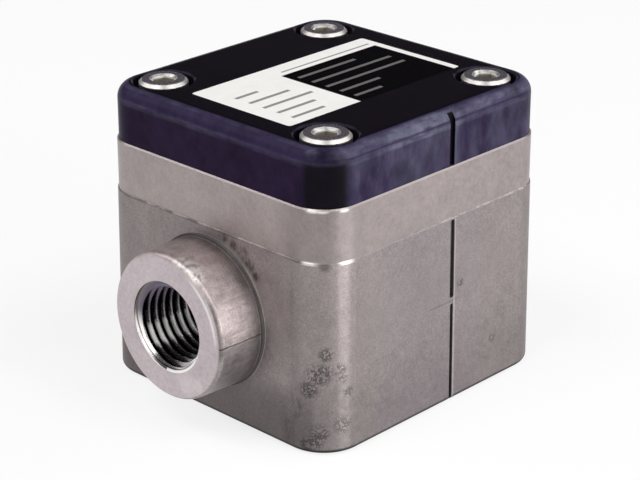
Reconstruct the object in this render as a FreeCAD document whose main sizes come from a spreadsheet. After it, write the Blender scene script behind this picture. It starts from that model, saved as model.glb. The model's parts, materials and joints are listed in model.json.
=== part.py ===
import FreeCAD, Part
import math
import os

import Sketcher
from FreeCAD import Vector

# Oval gear flow sensor: a cast body with two pipe ports, a pair of oval rotors turning on
# fixed shafts in a figure-of-eight chamber, and a bolted lid that holds the pick-up board.
# +X is the flow direction, +Z is up, and the origin is the middle of the underside.

SIZES = {
    # oval rotors and the measuring chamber
    "rotor_pitch_long": 8.62,
    "rotor_pitch_short": 6.38,
    "rotor_height": 11.8,
    "tooth_addendum": 0.5,
    "tooth_dedendum": 0.65,
    "tooth_tip_share": 0.11,
    "tooth_root_share": 0.5,
    "chamber_gap": 0.15,
    "rotor_end_gap": 0.1,
    "rotor_hub_recess": 0.4,
    # shafts, bushes and thrust washers
    "shaft_radius": 1.5,
    "shaft_seat": 4.5,
    "shaft_top_gap": 0.1,
    "running_gap": 0.03,
    "bush_wall": 1.1,
    "washer_radius": 3.2,
    "washer_side_gap": 0.2,
    "washer_play": 0.05,
    "washer_bore_gap": 0.1,
    # magnets in the first rotor
    "magnet_radius": 1.25,
    "magnet_height": 3.0,
    "magnet_offset": 4.9,
    "cap_thickness": 0.6,
    # lid seal
    "seal_width": 1.9,
    "seal_height": 1.4,
    "seal_side_gap": 0.25,
    "seal_land": 0.73,
    # cast body
    "side_wall": 3.1,
    "face_wall": 2.2,
    "corner_radius": 5.8,
    "base_draft": 0.35,
    "base_fillet": 0.8,
    "band_step": 0.15,
    "band_margin": 1.3,
    "ledge_chamfer": 0.14,
    "rim_chamfer": 0.2,
    "floor_wall": 1.4,
    "groove_offset": 2.3,
    "groove_upper_radius": 0.43,
    "groove_lower_radius": 0.3,
    "lid_groove_radius": 0.52,
    "groove_cut": 0.5,
    "groove_bridge": 0.9,
    "groove_margin": 0.3,
    "groove_overrun": 1.0,
    # pipe ports
    "port_radius": 6.6,
    "port_depth": 14.0,
    "port_chamfer": 0.15,
    "drill_slope": 0.6,
    "boss_wall": 3.9,
    "boss_length": 8.2,
    "boss_taper": 0.3,
    "boss_root_fillet": 0.4,
    "boss_edge_fillet": 0.9,
    "base_margin": 4.4,
    "duct_radius": 3.4,
    "passage_radius": 3.6,
    "passage_inner": 4.4,
    # lid and its screws
    "lid_inset": 0.25,
    "lid_top_fillet": 2.2,
    "socket_depth": 2.2,
    "socket_web": 1.1,
    "socket_gap": 0.05,
    "screw_edge_x": 6.77,
    "screw_edge_y": 6.37,
    "screw_radius": 2.0,
    "screw_gap": 0.05,
    "screw_hole_gap": 0.25,
    "screw_length": 14.0,
    "screw_end_gap": 1.0,
    "screw_point": 0.4,
    "head_radius": 3.5,
    "head_height": 4.0,
    "head_edge": 0.5,
    "head_proud": 0.25,
    "hex_flats": 3.0,
    "hex_depth": 2.2,
    "hex_lead": 0.22,
    "hex_lead_slope": 0.7,
    "counterbore_gap": 0.75,
    "counterbore_chamfer": 0.3,
    # label, pocket cover and pick-up board
    "label_front_gap": 1.2,
    "label_back_gap": 2.8,
    "label_left_gap": 5.1,
    "label_right_gap": 5.6,
    "label_corner": 0.5,
    "label_fit": 0.1,
    "label_recess": 0.25,
    "label_thickness": 0.2,
    "label_border": 1.0,
    "cover_thickness": 1.1,
    "cover_ledge": 1.0,
    "cover_fit": 0.1,
    "part_room": 1.2,
    "board_thickness": 1.0,
    "board_gap": 0.8,
    "board_corner": 0.8,
    "standoff_height": 1.2,
    "standoff_radius": 1.6,
    "standoff_edge": 2.4,
    "board_screw_radius": 0.65,
    "board_screw_gap": 0.05,
    "board_screw_length": 2.4,
    "board_screw_head_radius": 1.6,
    "board_screw_head_height": 0.8,
    "board_hole_gap": 0.3,
    "hall_length": 3.0,
    "hall_width": 2.4,
    "hall_gap": 0.1,
    "hall_spread": 3.2,
    "hall_reach": 3.7,
    "chip_length": 5.0,
    "chip_width": 4.0,
    "chip_height": 0.9,
    "chip_spread": 5.0,
    # cable entry in the back of the lid
    "grommet_radius": 2.0,
    "grommet_length": 5.0,
    "grommet_edge": 1.6,
    "grommet_offset": 8.0,
    "cable_radius": 1.4,
    "cable_overrun": 0.5,
}

# Worked out from the driving sizes, from the rotors outwards.
DERIVED = {
    "axis_offset": "(rotor_pitch_long + rotor_pitch_short) / 2",
    "rotor_tip_radius": "rotor_pitch_long + tooth_addendum",
    "chamber_radius": "rotor_tip_radius + chamber_gap",
    "chamber_depth": "rotor_height + 2 * rotor_end_gap",
    "bush_bore": "shaft_radius + running_gap",
    "bush_radius": "bush_bore + bush_wall",
    "bush_length": "rotor_height - 2 * rotor_hub_recess",
    "hub_recess_radius": "washer_radius + washer_side_gap",
    "washer_bore": "shaft_radius + washer_bore_gap",
    "washer_thickness": "rotor_end_gap + rotor_hub_recess - washer_play",
    "magnet_pocket": "magnet_height + cap_thickness",
    "seal_groove_inner": "axis_offset + chamber_radius + seal_land",
    "seal_inner": "seal_groove_inner + seal_side_gap",
    "seal_outer": "seal_inner + seal_width",
    "seal_groove_outer": "seal_outer + seal_side_gap",
    "seal_flat_inner": "seal_inner + seal_height / 2",
    "seal_flat_outer": "seal_outer - seal_height / 2",
    "seal_middle": "seal_height / 2",
    "body_half_width": "seal_groove_outer + side_wall",
    "body_half_depth": "seal_groove_outer + face_wall",
    "body_width": "2 * body_half_width",
    "body_depth": "2 * body_half_depth",
    "base_half_depth": "body_half_depth + base_draft",
    "base_width": "body_width + 2 * base_draft",
    "base_depth": "body_depth + 2 * base_draft",
    "base_corner": "corner_radius + base_draft",
    "band_width": "body_width - 2 * band_step",
    "band_depth": "body_depth - 2 * band_step",
    "band_corner": "corner_radius - band_step",
    "boss_face_radius": "port_radius + boss_wall",
    "boss_root_radius": "boss_face_radius + boss_taper",
    "boss_reach": "body_half_width + boss_length",
    "port_height": "boss_root_radius + boss_root_fillet + base_margin",
    "port_mouth_radius": "port_radius + port_chamfer",
    "port_chamfer_end": "boss_reach - port_chamfer",
    "port_bottom": "boss_reach - port_depth",
    "port_cone_end": "port_bottom - (port_radius - duct_radius) * drill_slope",
    "passage_offset": "passage_inner + passage_radius",
    "chamber_floor": "port_height + port_radius + floor_wall",
    "body_height": "chamber_floor + chamber_depth",
    "passage_depth": "body_height - port_height + passage_radius",
    "band_floor": "port_height + boss_root_radius + boss_root_fillet + band_margin",
    "band_height": "body_height - band_floor",
    "groove_top": "band_floor - groove_margin - groove_upper_radius",
    "groove_reach": "groove_cut + base_draft",
    "groove_middle": "port_height + groove_bridge / 2 + groove_upper_radius",
    "groove_low_top": "port_height - groove_bridge / 2 - groove_lower_radius",
    "screw_x": "body_half_width - screw_edge_x",
    "screw_y": "body_half_depth - screw_edge_y",
    "shaft_hole_floor": "chamber_floor - shaft_seat",
    "shaft_length": "shaft_seat + chamber_depth + socket_depth - shaft_top_gap",
    "shaft_socket_radius": "shaft_radius + socket_gap",
    "rotor_floor": "chamber_floor + rotor_end_gap",
    "bush_floor": "rotor_floor + rotor_hub_recess",
    "rotor_top": "rotor_floor + rotor_height",
    "washer_top_floor": "body_height - washer_thickness",
    "magnet_floor": "rotor_top - magnet_pocket",
    "cap_floor": "rotor_top - cap_thickness",
    "seal_floor": "body_height - seal_height",
    "lid_half_width": "body_half_width - band_step - lid_inset",
    "lid_half_depth": "body_half_depth - band_step - lid_inset",
    "lid_width": "2 * lid_half_width",
    "lid_depth": "2 * lid_half_depth",
    "lid_corner": "corner_radius - band_step - lid_inset",
    "pocket_floor": "socket_depth + socket_web",
    "board_floor": "pocket_floor + standoff_height",
    "board_top": "board_floor + board_thickness",
    "cover_floor": "board_top + part_room",
    "label_floor": "cover_floor + cover_thickness",
    "lid_height": "label_floor + label_recess",
    "counterbore_radius": "head_radius + counterbore_gap",
    "counterbore_depth": "head_height - head_proud",
    "screw_hole_radius": "screw_radius + screw_hole_gap",
    "screw_seat": "lid_height - counterbore_depth",
    "tapped_radius": "screw_radius + screw_gap",
    "tapped_depth": "screw_length - screw_seat + screw_end_gap",
    "screw_tip": "screw_radius - screw_point",
    "screw_point_start": "screw_length - screw_point",
    "head_top_radius": "head_radius - head_edge",
    "head_edge_start": "head_height - head_edge",
    "hex_half_flat": "hex_flats / 2",
    "hex_corner": "hex_flats / sqrt(3)",
    "hex_half_side": "hex_corner / 2",
    "hex_mouth": "hex_corner + hex_lead",
    "hex_lead_floor": "head_height - hex_mouth * hex_lead_slope",
    "label_front": "screw_y - counterbore_radius - label_front_gap",
    "label_back": "screw_y - counterbore_radius - label_back_gap",
    "label_left": "lid_half_width - label_left_gap",
    "label_right": "lid_half_width - label_right_gap",
    "label_x": "(label_right - label_left) / 2",
    "label_y": "(label_back - label_front) / 2",
    "label_length": "label_left + label_right",
    "label_width": "label_front + label_back",
    "recess_length": "label_length + 2 * label_fit",
    "recess_width": "label_width + 2 * label_fit",
    "cover_length": "label_length - 2 * label_border",
    "cover_width": "label_width - 2 * label_border",
    "seat_length": "cover_length + 2 * cover_fit",
    "seat_width": "cover_width + 2 * cover_fit",
    "pocket_length": "cover_length - 2 * cover_ledge",
    "pocket_width": "cover_width - 2 * cover_ledge",
    "board_length": "pocket_length - 2 * board_gap",
    "board_width": "pocket_width - 2 * board_gap",
    "seat_cut": "lid_height - cover_floor",
    "pocket_cut": "lid_height - pocket_floor",
    "standoff_x": "board_length / 2 - standoff_edge",
    "pilot_radius": "board_screw_radius + board_screw_gap",
    "pilot_depth": "board_screw_length - board_thickness + board_screw_gap",
    "board_hole": "board_screw_radius + board_hole_gap",
    "hall_height": "standoff_height - hall_gap",
    "hall_floor": "pocket_floor + hall_gap",
    "hall_y": "hall_reach - axis_offset",
    "grommet_height": "grommet_edge + grommet_radius",
    "cable_run": "lid_half_depth - label_y - pocket_width / 2 + cable_overrun",
    "board_z": "body_height + board_floor",
    "board_top_z": "body_height + board_top",
    "hall_z": "body_height + hall_floor",
    "cover_z": "body_height + cover_floor",
    "label_z": "body_height + label_floor",
    "screw_z": "body_height + screw_seat",
    "grommet_z": "body_height + grommet_height",
}

TOOTH_COUNT = 18
# Place of each lid screw, and how far round it was left when it was tightened, in degrees.
LID_SCREWS = (("-screw_x", "-screw_y", 45), ("screw_x", "-screw_y", 15),
              ("screw_x", "screw_y", 30), ("-screw_x", "screw_y", 45))
TOLERANCE = 1e-4

doc = FreeCAD.newDocument("oval_gear_flow_sensor")

sheet = doc.addObject("Spreadsheet::Sheet", "Sizes")
for row, (alias, value) in enumerate(SIZES.items(), start=1):
    sheet.set("A%d" % row, alias)
    sheet.set("B%d" % row, str(value))
    sheet.setAlias("B%d" % row, alias)
doc.recompute()

derived = doc.addObject("App::VarSet", "Derived")


def words(formula):
    """Split a formula into names and the marks between them."""
    parts = [""]
    for mark in formula:
        joins = (mark.isalnum() or mark == "_") == (parts[-1][-1:].isalnum() or parts[-1][-1:] == "_")
        if joins:
            parts[-1] += mark
        else:
            parts.append(mark)
    return parts


def formula_of(text):
    """Point each driving size in a formula at the sheet, and leave worked-out ones as they are."""
    return "".join("Sizes." + word if word in SIZES else word for word in words(text))


for name in DERIVED:
    derived.addProperty("App::PropertyFloat", name, "Worked out")
for name, text in DERIVED.items():
    derived.setExpression(name, formula_of(text))
doc.recompute()


def link(name):
    """Expression for a named size, with an optional minus sign."""
    sign = "-" if name.startswith("-") else ""
    bare = name.lstrip("-")
    return sign + ("Sizes." if bare in SIZES else "Derived.") + bare


def number(name):
    """Value of a named size, with an optional minus sign."""
    bare = name.lstrip("-")
    value = SIZES[bare] if bare in SIZES else getattr(derived, bare)
    return -value if name.startswith("-") else value


def place(item, x=None, y=None, z=None):
    """Bind an object's position to named sizes."""
    for axis, name in (("x", x), ("y", y), ("z", z)):
        if name:
            item.setExpression("Placement.Base." + axis, link(name))


def new_body(label, **position):
    body = doc.addObject("PartDesign::Body", label)
    body.Label = label
    place(body, **position)
    return body


def origin_plane(body, role):
    return next(item for item in body.Origin.OriginFeatures if item.Role == role)


def new_sketch(body, name, role="XY_Plane", height=None, x=None, y=None):
    """A sketch on an origin plane, moved along its normal and in its plane by named sizes."""
    sketch = body.newObject("Sketcher::SketchObject", name)
    sketch.AttachmentSupport = [(origin_plane(body, role), "")]
    sketch.MapMode = "FlatFace"
    for axis, size in (("x", x), ("y", y), ("z", height)):
        if size:
            sketch.setExpression("AttachmentOffset.Base." + axis, link(size))
    return sketch


def bind(sketch, kind, places, size):
    """Add a dimension and tie it to a named size, keeping its value positive."""
    index = sketch.addConstraint(Sketcher.Constraint(kind, *places, abs(number(size))))
    name = "%s%d" % (kind.lower(), index)
    sketch.renameConstraint(index, name)
    sketch.setExpression("Constraints." + name, link(size.lstrip("-")))


def fix_point(sketch, geometry, vertex, x, y):
    """Hold a point at named distances from the sketch's origin; None is zero."""
    for kind, size, axis in (("DistanceX", x, -2), ("DistanceY", y, -1)):
        if size is None:
            sketch.addConstraint(Sketcher.Constraint("PointOnObject", geometry, vertex, axis))
        elif number(size) < 0:
            bind(sketch, kind, (geometry, vertex, -1, 1), size)
        else:
            bind(sketch, kind, (-1, 1, geometry, vertex), size)


def amount(size):
    return 0.0 if size is None else number(size)


def add_circle(sketch, radius, x=None, y=None):
    centre = Vector(amount(x), amount(y), 0)
    index = sketch.addGeometry(Part.Circle(centre, Vector(0, 0, 1), number(radius)))
    fix_point(sketch, index, 3, x, y)
    bind(sketch, "Radius", (index,), radius)


def add_four_circles(sketch, radius, x, y):
    for side in ("", "-"):
        for end in ("", "-"):
            add_circle(sketch, radius, side + x, end + y)


def add_profile(sketch, points):
    """A closed outline of straight lines through points given as named sizes."""
    corners = [Vector(amount(x), amount(y), 0) for x, y in points]
    count = len(corners)
    lines = [sketch.addGeometry(Part.LineSegment(corners[i], corners[(i + 1) % count]))
             for i in range(count)]
    for i in range(count):
        sketch.addConstraint(Sketcher.Constraint("Coincident", lines[i - 1], 2, lines[i], 1))
    for line, (x, y) in zip(lines, points):
        fix_point(sketch, line, 1, x, y)


def add_rounded_rectangle(sketch, length, width, corner):
    """A rectangle with round corners, centred on the sketch's origin."""
    radius = number(corner)
    inner_x = number(length) / 2 - radius
    inner_y = number(width) / 2 - radius
    centres = [Vector(inner_x, -inner_y, 0), Vector(inner_x, inner_y, 0),
               Vector(-inner_x, inner_y, 0), Vector(-inner_x, -inner_y, 0)]
    outward = [Vector(0, -radius, 0), Vector(radius, 0, 0), Vector(0, radius, 0), Vector(-radius, 0, 0)]
    ring = []
    for side in range(4):
        start = centres[side - 1] + outward[side]
        end = centres[side] + outward[side]
        circle = Part.Circle(centres[side], Vector(0, 0, 1), radius)
        first = (side - 1) * math.pi / 2
        ring.append(sketch.addGeometry(Part.LineSegment(start, end)))
        ring.append(sketch.addGeometry(Part.ArcOfCircle(circle, first, first + math.pi / 2)))
    for i in range(8):
        sketch.addConstraint(Sketcher.Constraint("Tangent", ring[i - 1], 2, ring[i], 1))
    for line, kind in ((0, "Horizontal"), (2, "Vertical"), (4, "Horizontal"), (6, "Vertical")):
        sketch.addConstraint(Sketcher.Constraint(kind, ring[line]))
    for arc in (3, 5, 7):
        sketch.addConstraint(Sketcher.Constraint("Equal", ring[1], ring[arc]))
    sketch.addConstraint(Sketcher.Constraint("Symmetric", ring[5], 3, ring[1], 3, -1, 1))
    bind(sketch, "DistanceX", (ring[6], 1, ring[2], 2), length)
    bind(sketch, "DistanceY", (ring[0], 1, ring[4], 2), width)
    bind(sketch, "Radius", (ring[1],), corner)


def add_slot(sketch, x, low, high, radius):
    """An upright slot with round ends between two named heights."""
    middle, bottom, top, half = number(x), number(low), number(high), number(radius)
    upper = Part.Circle(Vector(middle, top, 0), Vector(0, 0, 1), half)
    lower = Part.Circle(Vector(middle, bottom, 0), Vector(0, 0, 1), half)
    left, right = middle - half, middle + half
    ring = [sketch.addGeometry(Part.LineSegment(Vector(right, bottom, 0), Vector(right, top, 0))),
            sketch.addGeometry(Part.ArcOfCircle(upper, 0, math.pi)),
            sketch.addGeometry(Part.LineSegment(Vector(left, top, 0), Vector(left, bottom, 0))),
            sketch.addGeometry(Part.ArcOfCircle(lower, math.pi, 2 * math.pi))]
    for i in range(4):
        sketch.addConstraint(Sketcher.Constraint("Tangent", ring[i - 1], 2, ring[i], 1))
    fix_point(sketch, ring[1], 3, x, high)
    fix_point(sketch, ring[3], 3, x, low)
    bind(sketch, "Radius", (ring[1],), radius)


def pad(body, sketch, length, name):
    feature = body.newObject("PartDesign::Pad", name)
    feature.Profile = sketch
    feature.setExpression("Length", link(length))
    doc.recompute()
    return feature


def pocket(body, sketch, depth, name, upward=False):
    """Cut a sketch into the body, and stop if it took nothing away."""
    before = body.Shape.Volume
    feature = body.newObject("PartDesign::Pocket", name)
    feature.Profile = sketch
    feature.Reversed = upward
    feature.setExpression("Length", link(depth))
    doc.recompute()
    if body.Shape.Volume > before - TOLERANCE:
        raise RuntimeError(name + " cuts nothing")
    return feature


def turn(body, sketch, name, kind="Revolution", axis="V_Axis"):
    feature = body.newObject("PartDesign::" + kind, name)
    feature.Profile = sketch
    feature.ReferenceAxis = (sketch, [axis])
    feature.Angle = 360
    doc.recompute()
    return feature


def mirror(body, feature, role, name):
    copy = body.newObject("PartDesign::Mirrored", name)
    copy.Originals = [feature]
    copy.MirrorPlane = (origin_plane(body, role), [""])
    body.Tip = copy
    doc.recompute()
    return copy


def dress(body, kind, size, test, name):
    """Fillet or chamfer the edges of the body's tip that pass a test."""
    base = body.Tip
    names = ["Edge%d" % i for i, edge in enumerate(base.Shape.Edges, start=1) if test(edge)]
    if not names:
        raise RuntimeError(name + " found no edge")
    feature = body.newObject("PartDesign::" + kind, name)
    feature.Base = (base, names)
    feature.setExpression("Radius" if kind == "Fillet" else "Size", link(size))
    doc.recompute()
    return feature


def level(edge, height):
    """True for an edge that lies flat at one height."""
    box = edge.BoundBox
    return abs(box.ZMin - height) < TOLERANCE and abs(box.ZMax - height) < TOLERANCE


def round_edge(edge, radius):
    return isinstance(edge.Curve, Part.Circle) and abs(edge.Curve.Radius - number(radius)) < TOLERANCE


def ledge_rim(edge):
    """True for the outer rim of the narrow ledge under the machined band."""
    middle = edge.BoundBox.Center
    beyond_band = max(abs(middle.x) - number("band_width") / 2, abs(middle.y) - number("band_depth") / 2)
    on_rim = beyond_band > TOLERANCE or round_edge(edge, "corner_radius")
    return level(edge, number("band_floor")) and on_rim


def boss_root(edge):
    """True for the ring where a boss leaves the drafted side of the body."""
    box = edge.BoundBox
    out_of_wall = abs(box.Center.x) - number("body_half_width")
    return 0 < out_of_wall < number("base_draft") and box.ZLength > number("boss_face_radius")


def make_disc(label, height, radius, bore=None, **position):
    """A plain disc or ring of revolution standing on its own base plane."""
    body = new_body(label, **position)
    sketch = new_sketch(body, label + "_outline")
    add_circle(sketch, radius)
    if bore:
        add_circle(sketch, bore)
    pad(body, sketch, height, label + "_pad")
    return body


def make_box(label, length, width, height, x, y, z):
    """A block centred on named x and y, standing at a named height."""
    box = doc.addObject("Part::Box", label)
    box.Label = label
    for side, size in (("Length", length), ("Width", width), ("Height", height)):
        box.setExpression(side, link(size))
    box.setExpression("Placement.Base.x", "%s - %s / 2" % (link(x), link(length)))
    box.setExpression("Placement.Base.y", "%s - %s / 2" % (link(y), link(width)))
    box.setExpression("Placement.Base.z", link(z))
    return box


def make_cast_body():
    body = new_body("body")
    base = new_sketch(body, "body_base")
    add_rounded_rectangle(base, "base_width", "base_depth", "base_corner")
    shoulder = new_sketch(body, "body_shoulder", height="band_floor")
    add_rounded_rectangle(shoulder, "body_width", "body_depth", "corner_radius")
    block = body.newObject("PartDesign::AdditiveLoft", "body_block")
    block.Profile = base
    block.Sections = [shoulder]
    block.Ruled = True
    doc.recompute()
    band = new_sketch(body, "body_band", height="band_floor")
    add_rounded_rectangle(band, "band_width", "band_depth", "band_corner")
    pad(body, band, "band_height", "body_band_pad")
    dress(body, "Chamfer", "ledge_chamfer", ledge_rim, "body_ledge_chamfer")
    dress(body, "Fillet", "base_fillet", lambda edge: level(edge, 0), "body_base_fillet")
    dress(body, "Chamfer", "rim_chamfer", lambda edge: level(edge, number("body_height")), "body_rim_chamfer")

    bosses = new_sketch(body, "port_bosses", "XZ_Plane", y="port_height")
    add_profile(bosses, [("-boss_reach", None), ("boss_reach", None),
                         ("boss_reach", "boss_face_radius"), ("body_half_width", "boss_root_radius"),
                         ("-body_half_width", "boss_root_radius"), ("-boss_reach", "boss_face_radius")])
    turn(body, bosses, "port_boss_turn", axis="H_Axis")
    dress(body, "Fillet", "boss_root_fillet", boss_root, "boss_root_fillet_ring")
    dress(body, "Fillet", "boss_edge_fillet",
          lambda edge: round_edge(edge, "boss_face_radius"), "boss_edge_fillet_ring")

    bore = new_sketch(body, "port_bore", "XZ_Plane", y="port_height")
    add_profile(bore, [("-boss_reach", None), ("-boss_reach", "port_mouth_radius"),
                       ("-port_chamfer_end", "port_radius"), ("-port_bottom", "port_radius"),
                       ("-port_cone_end", "duct_radius"), ("-passage_offset", "duct_radius"),
                       ("-passage_offset", None)])
    cut = turn(body, bore, "port_bore_cut", "Groove", "H_Axis")
    mirror(body, cut, "YZ_Plane", "port_bore_mirror")

    chamber = new_sketch(body, "chamber_bore", height="body_height")
    add_circle(chamber, "chamber_radius", None, "-axis_offset")
    cut = pocket(body, chamber, "chamber_depth", "chamber_bore_cut")
    mirror(body, cut, "XZ_Plane", "chamber_bore_mirror")

    passage = new_sketch(body, "flow_passage", height="body_height")
    add_circle(passage, "passage_radius", "-passage_offset", None)
    cut = pocket(body, passage, "passage_depth", "flow_passage_cut")
    mirror(body, cut, "YZ_Plane", "flow_passage_mirror")

    groove = new_sketch(body, "seal_groove", height="body_height")
    add_circle(groove, "seal_groove_outer")
    add_circle(groove, "seal_groove_inner")
    pocket(body, groove, "seal_height", "seal_groove_cut")

    holes = new_sketch(body, "lid_screw_holes", height="body_height")
    add_four_circles(holes, "tapped_radius", "screw_x", "screw_y")
    pocket(body, holes, "tapped_depth", "lid_screw_holes_cut")

    seats = new_sketch(body, "shaft_seats", height="chamber_floor")
    add_circle(seats, "shaft_radius", None, "-axis_offset")
    add_circle(seats, "shaft_radius", None, "axis_offset")
    pocket(body, seats, "shaft_seat", "shaft_seats_cut")

    marks = new_sketch(body, "face_grooves", "XZ_Plane", height="base_half_depth")
    add_slot(marks, "groove_offset", "groove_middle", "groove_top", "groove_upper_radius")
    add_slot(marks, "groove_offset", "-groove_overrun", "groove_low_top", "groove_lower_radius")
    pocket(body, marks, "groove_reach", "face_grooves_cut")


def make_lid():
    body = new_body("sensor_lid", z="body_height")
    outline = new_sketch(body, "lid_outline")
    add_rounded_rectangle(outline, "lid_width", "lid_depth", "lid_corner")
    pad(body, outline, "lid_height", "lid_pad")
    dress(body, "Fillet", "lid_top_fillet",
          lambda edge: level(edge, number("lid_height")), "lid_top_fillet_ring")

    recess = new_sketch(body, "label_recess", height="lid_height", x="label_x", y="label_y")
    add_rounded_rectangle(recess, "recess_length", "recess_width", "label_corner")
    pocket(body, recess, "label_recess", "label_recess_cut")
    seat = new_sketch(body, "cover_seat", height="lid_height", x="label_x", y="label_y")
    add_rounded_rectangle(seat, "seat_length", "seat_width", "label_corner")
    pocket(body, seat, "seat_cut", "cover_seat_cut")
    well = new_sketch(body, "board_pocket", height="lid_height", x="label_x", y="label_y")
    add_rounded_rectangle(well, "pocket_length", "pocket_width", "label_corner")
    pocket(body, well, "pocket_cut", "board_pocket_cut")

    posts = new_sketch(body, "board_posts", height="pocket_floor", x="label_x", y="label_y")
    add_circle(posts, "standoff_radius", "standoff_x")
    add_circle(posts, "standoff_radius", "-standoff_x")
    pad(body, posts, "standoff_height", "board_posts_pad")
    pilots = new_sketch(body, "board_pilots", height="board_floor", x="label_x", y="label_y")
    add_circle(pilots, "pilot_radius", "standoff_x")
    add_circle(pilots, "pilot_radius", "-standoff_x")
    pocket(body, pilots, "pilot_depth", "board_pilots_cut")

    heads = new_sketch(body, "lid_counterbores", height="lid_height")
    add_four_circles(heads, "counterbore_radius", "screw_x", "screw_y")
    pocket(body, heads, "counterbore_depth", "lid_counterbores_cut")
    dress(body, "Chamfer", "counterbore_chamfer",
          lambda edge: round_edge(edge, "counterbore_radius") and level(edge, number("lid_height")),
          "lid_counterbore_rims")
    holes = new_sketch(body, "lid_screw_clearance", height="lid_height")
    add_four_circles(holes, "screw_hole_radius", "screw_x", "screw_y")
    pocket(body, holes, "lid_height", "lid_screw_clearance_cut")

    sockets = new_sketch(body, "shaft_sockets")
    add_circle(sockets, "shaft_socket_radius", None, "-axis_offset")
    add_circle(sockets, "shaft_socket_radius", None, "axis_offset")
    pocket(body, sockets, "socket_depth", "shaft_sockets_cut", upward=True)

    entry = new_sketch(body, "cable_entry", "XZ_Plane", height="-lid_half_depth")
    add_circle(entry, "grommet_radius", "-grommet_offset", "grommet_height")
    pocket(body, entry, "grommet_length", "cable_entry_cut", upward=True)
    run = new_sketch(body, "cable_passage", "XZ_Plane", height="-lid_half_depth")
    add_circle(run, "cable_radius", "-grommet_offset", "grommet_height")
    pocket(body, run, "cable_run", "cable_passage_cut", upward=True)

    mark = new_sketch(body, "lid_groove", "XZ_Plane", height="lid_half_depth")
    add_slot(mark, "groove_offset", "-groove_overrun", "lid_height", "lid_groove_radius")
    pocket(body, mark, "groove_cut", "lid_groove_cut")


def make_lid_screw(label, x, y, turned):
    """A socket head cap screw, seated on the floor of its counterbore."""
    body = new_body(label, x=x, y=y, z="screw_z")
    body.Placement.Rotation = FreeCAD.Rotation(Vector(0, 0, 1), turned)
    profile = new_sketch(body, label + "_profile", "XZ_Plane")
    add_profile(profile, [(None, "-screw_length"), ("screw_tip", "-screw_length"),
                          ("screw_radius", "-screw_point_start"), ("screw_radius", None),
                          ("head_radius", None), ("head_radius", "head_edge_start"),
                          ("head_top_radius", "head_height"), ("hex_mouth", "head_height"),
                          (None, "hex_lead_floor")])
    turn(body, profile, label + "_turn")
    socket = new_sketch(body, label + "_socket", height="head_height")
    add_profile(socket, [("hex_corner", None), ("hex_half_side", "hex_half_flat"),
                         ("-hex_half_side", "hex_half_flat"), ("-hex_corner", None),
                         ("-hex_half_side", "-hex_half_flat"), ("hex_half_side", "-hex_half_flat")])
    pocket(body, socket, "hex_depth", label + "_socket_cut")


def make_lid_seal():
    """An O-ring squeezed flat between the groove floor and the lid."""
    body = new_body("lid_seal", z="seal_floor")
    section = new_sketch(body, "lid_seal_section", "XZ_Plane")
    inner, outer = number("seal_flat_inner"), number("seal_flat_outer")
    half = number("seal_middle")
    axis = Vector(0, 0, 1)
    ring = [section.addGeometry(Part.LineSegment(Vector(inner, 0, 0), Vector(outer, 0, 0))),
            section.addGeometry(Part.ArcOfCircle(Part.Circle(Vector(outer, half, 0), axis, half),
                                                 -math.pi / 2, math.pi / 2)),
            section.addGeometry(Part.LineSegment(Vector(outer, 2 * half, 0), Vector(inner, 2 * half, 0))),
            section.addGeometry(Part.ArcOfCircle(Part.Circle(Vector(inner, half, 0), axis, half),
                                                 math.pi / 2, 3 * math.pi / 2))]
    for i in range(4):
        section.addConstraint(Sketcher.Constraint("Tangent", ring[i - 1], 2, ring[i], 1))
    fix_point(section, ring[1], 3, "seal_flat_outer", "seal_middle")
    fix_point(section, ring[3], 3, "seal_flat_inner", "seal_middle")
    bind(section, "Radius", (ring[1],), "seal_middle")
    turn(body, section, "lid_seal_turn")


def pitch_radius(angle):
    """Pitch curve of a two-lobed oval gear, which rolls on its own copy a quarter turn away."""
    long, short = number("rotor_pitch_long"), number("rotor_pitch_short")
    return 2 * long * short / ((long + short) - (long - short) * math.cos(2 * angle))


def pitch_point(angle, outward, sideways):
    """A point beside the pitch curve, measured along its normal and its tangent."""
    long, short = number("rotor_pitch_long"), number("rotor_pitch_short")
    radius = pitch_radius(angle)
    slope = -radius * radius * (long - short) * math.sin(2 * angle) / (long * short)
    along = Vector(math.cos(angle), math.sin(angle), 0)
    across = Vector(-math.sin(angle), math.cos(angle), 0)
    tangent = (along * slope + across * radius).normalize()
    normal = Vector(tangent.y, -tangent.x, 0)
    return along * radius + normal * outward + tangent * sideways


def draw_rotor_outline(sketch):
    """Straight-flanked teeth spaced evenly by angle, joined by arcs along the root oval."""
    step = 2 * math.pi / TOOTH_COUNT
    top, root = number("tooth_addendum"), -number("tooth_dedendum")

    def tooth(index):
        angle = index * step
        local_pitch = pitch_radius(angle) * step
        tip = local_pitch * number("tooth_tip_share") / 2
        foot = local_pitch * number("tooth_root_share") / 2
        return [pitch_point(angle, out, side)
                for out, side in ((root, -foot), (top, -tip), (top, tip), (root, foot))]

    for index in range(TOOTH_COUNT):
        points = tooth(index)
        for start, end in zip(points, points[1:]):
            sketch.addGeometry(Part.LineSegment(start, end))
        valley = pitch_point((index + 0.5) * step, root, 0)
        following = tooth((index + 1) % TOOTH_COUNT)[0]
        sketch.addGeometry(Part.Arc(points[-1], valley, following))


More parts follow.
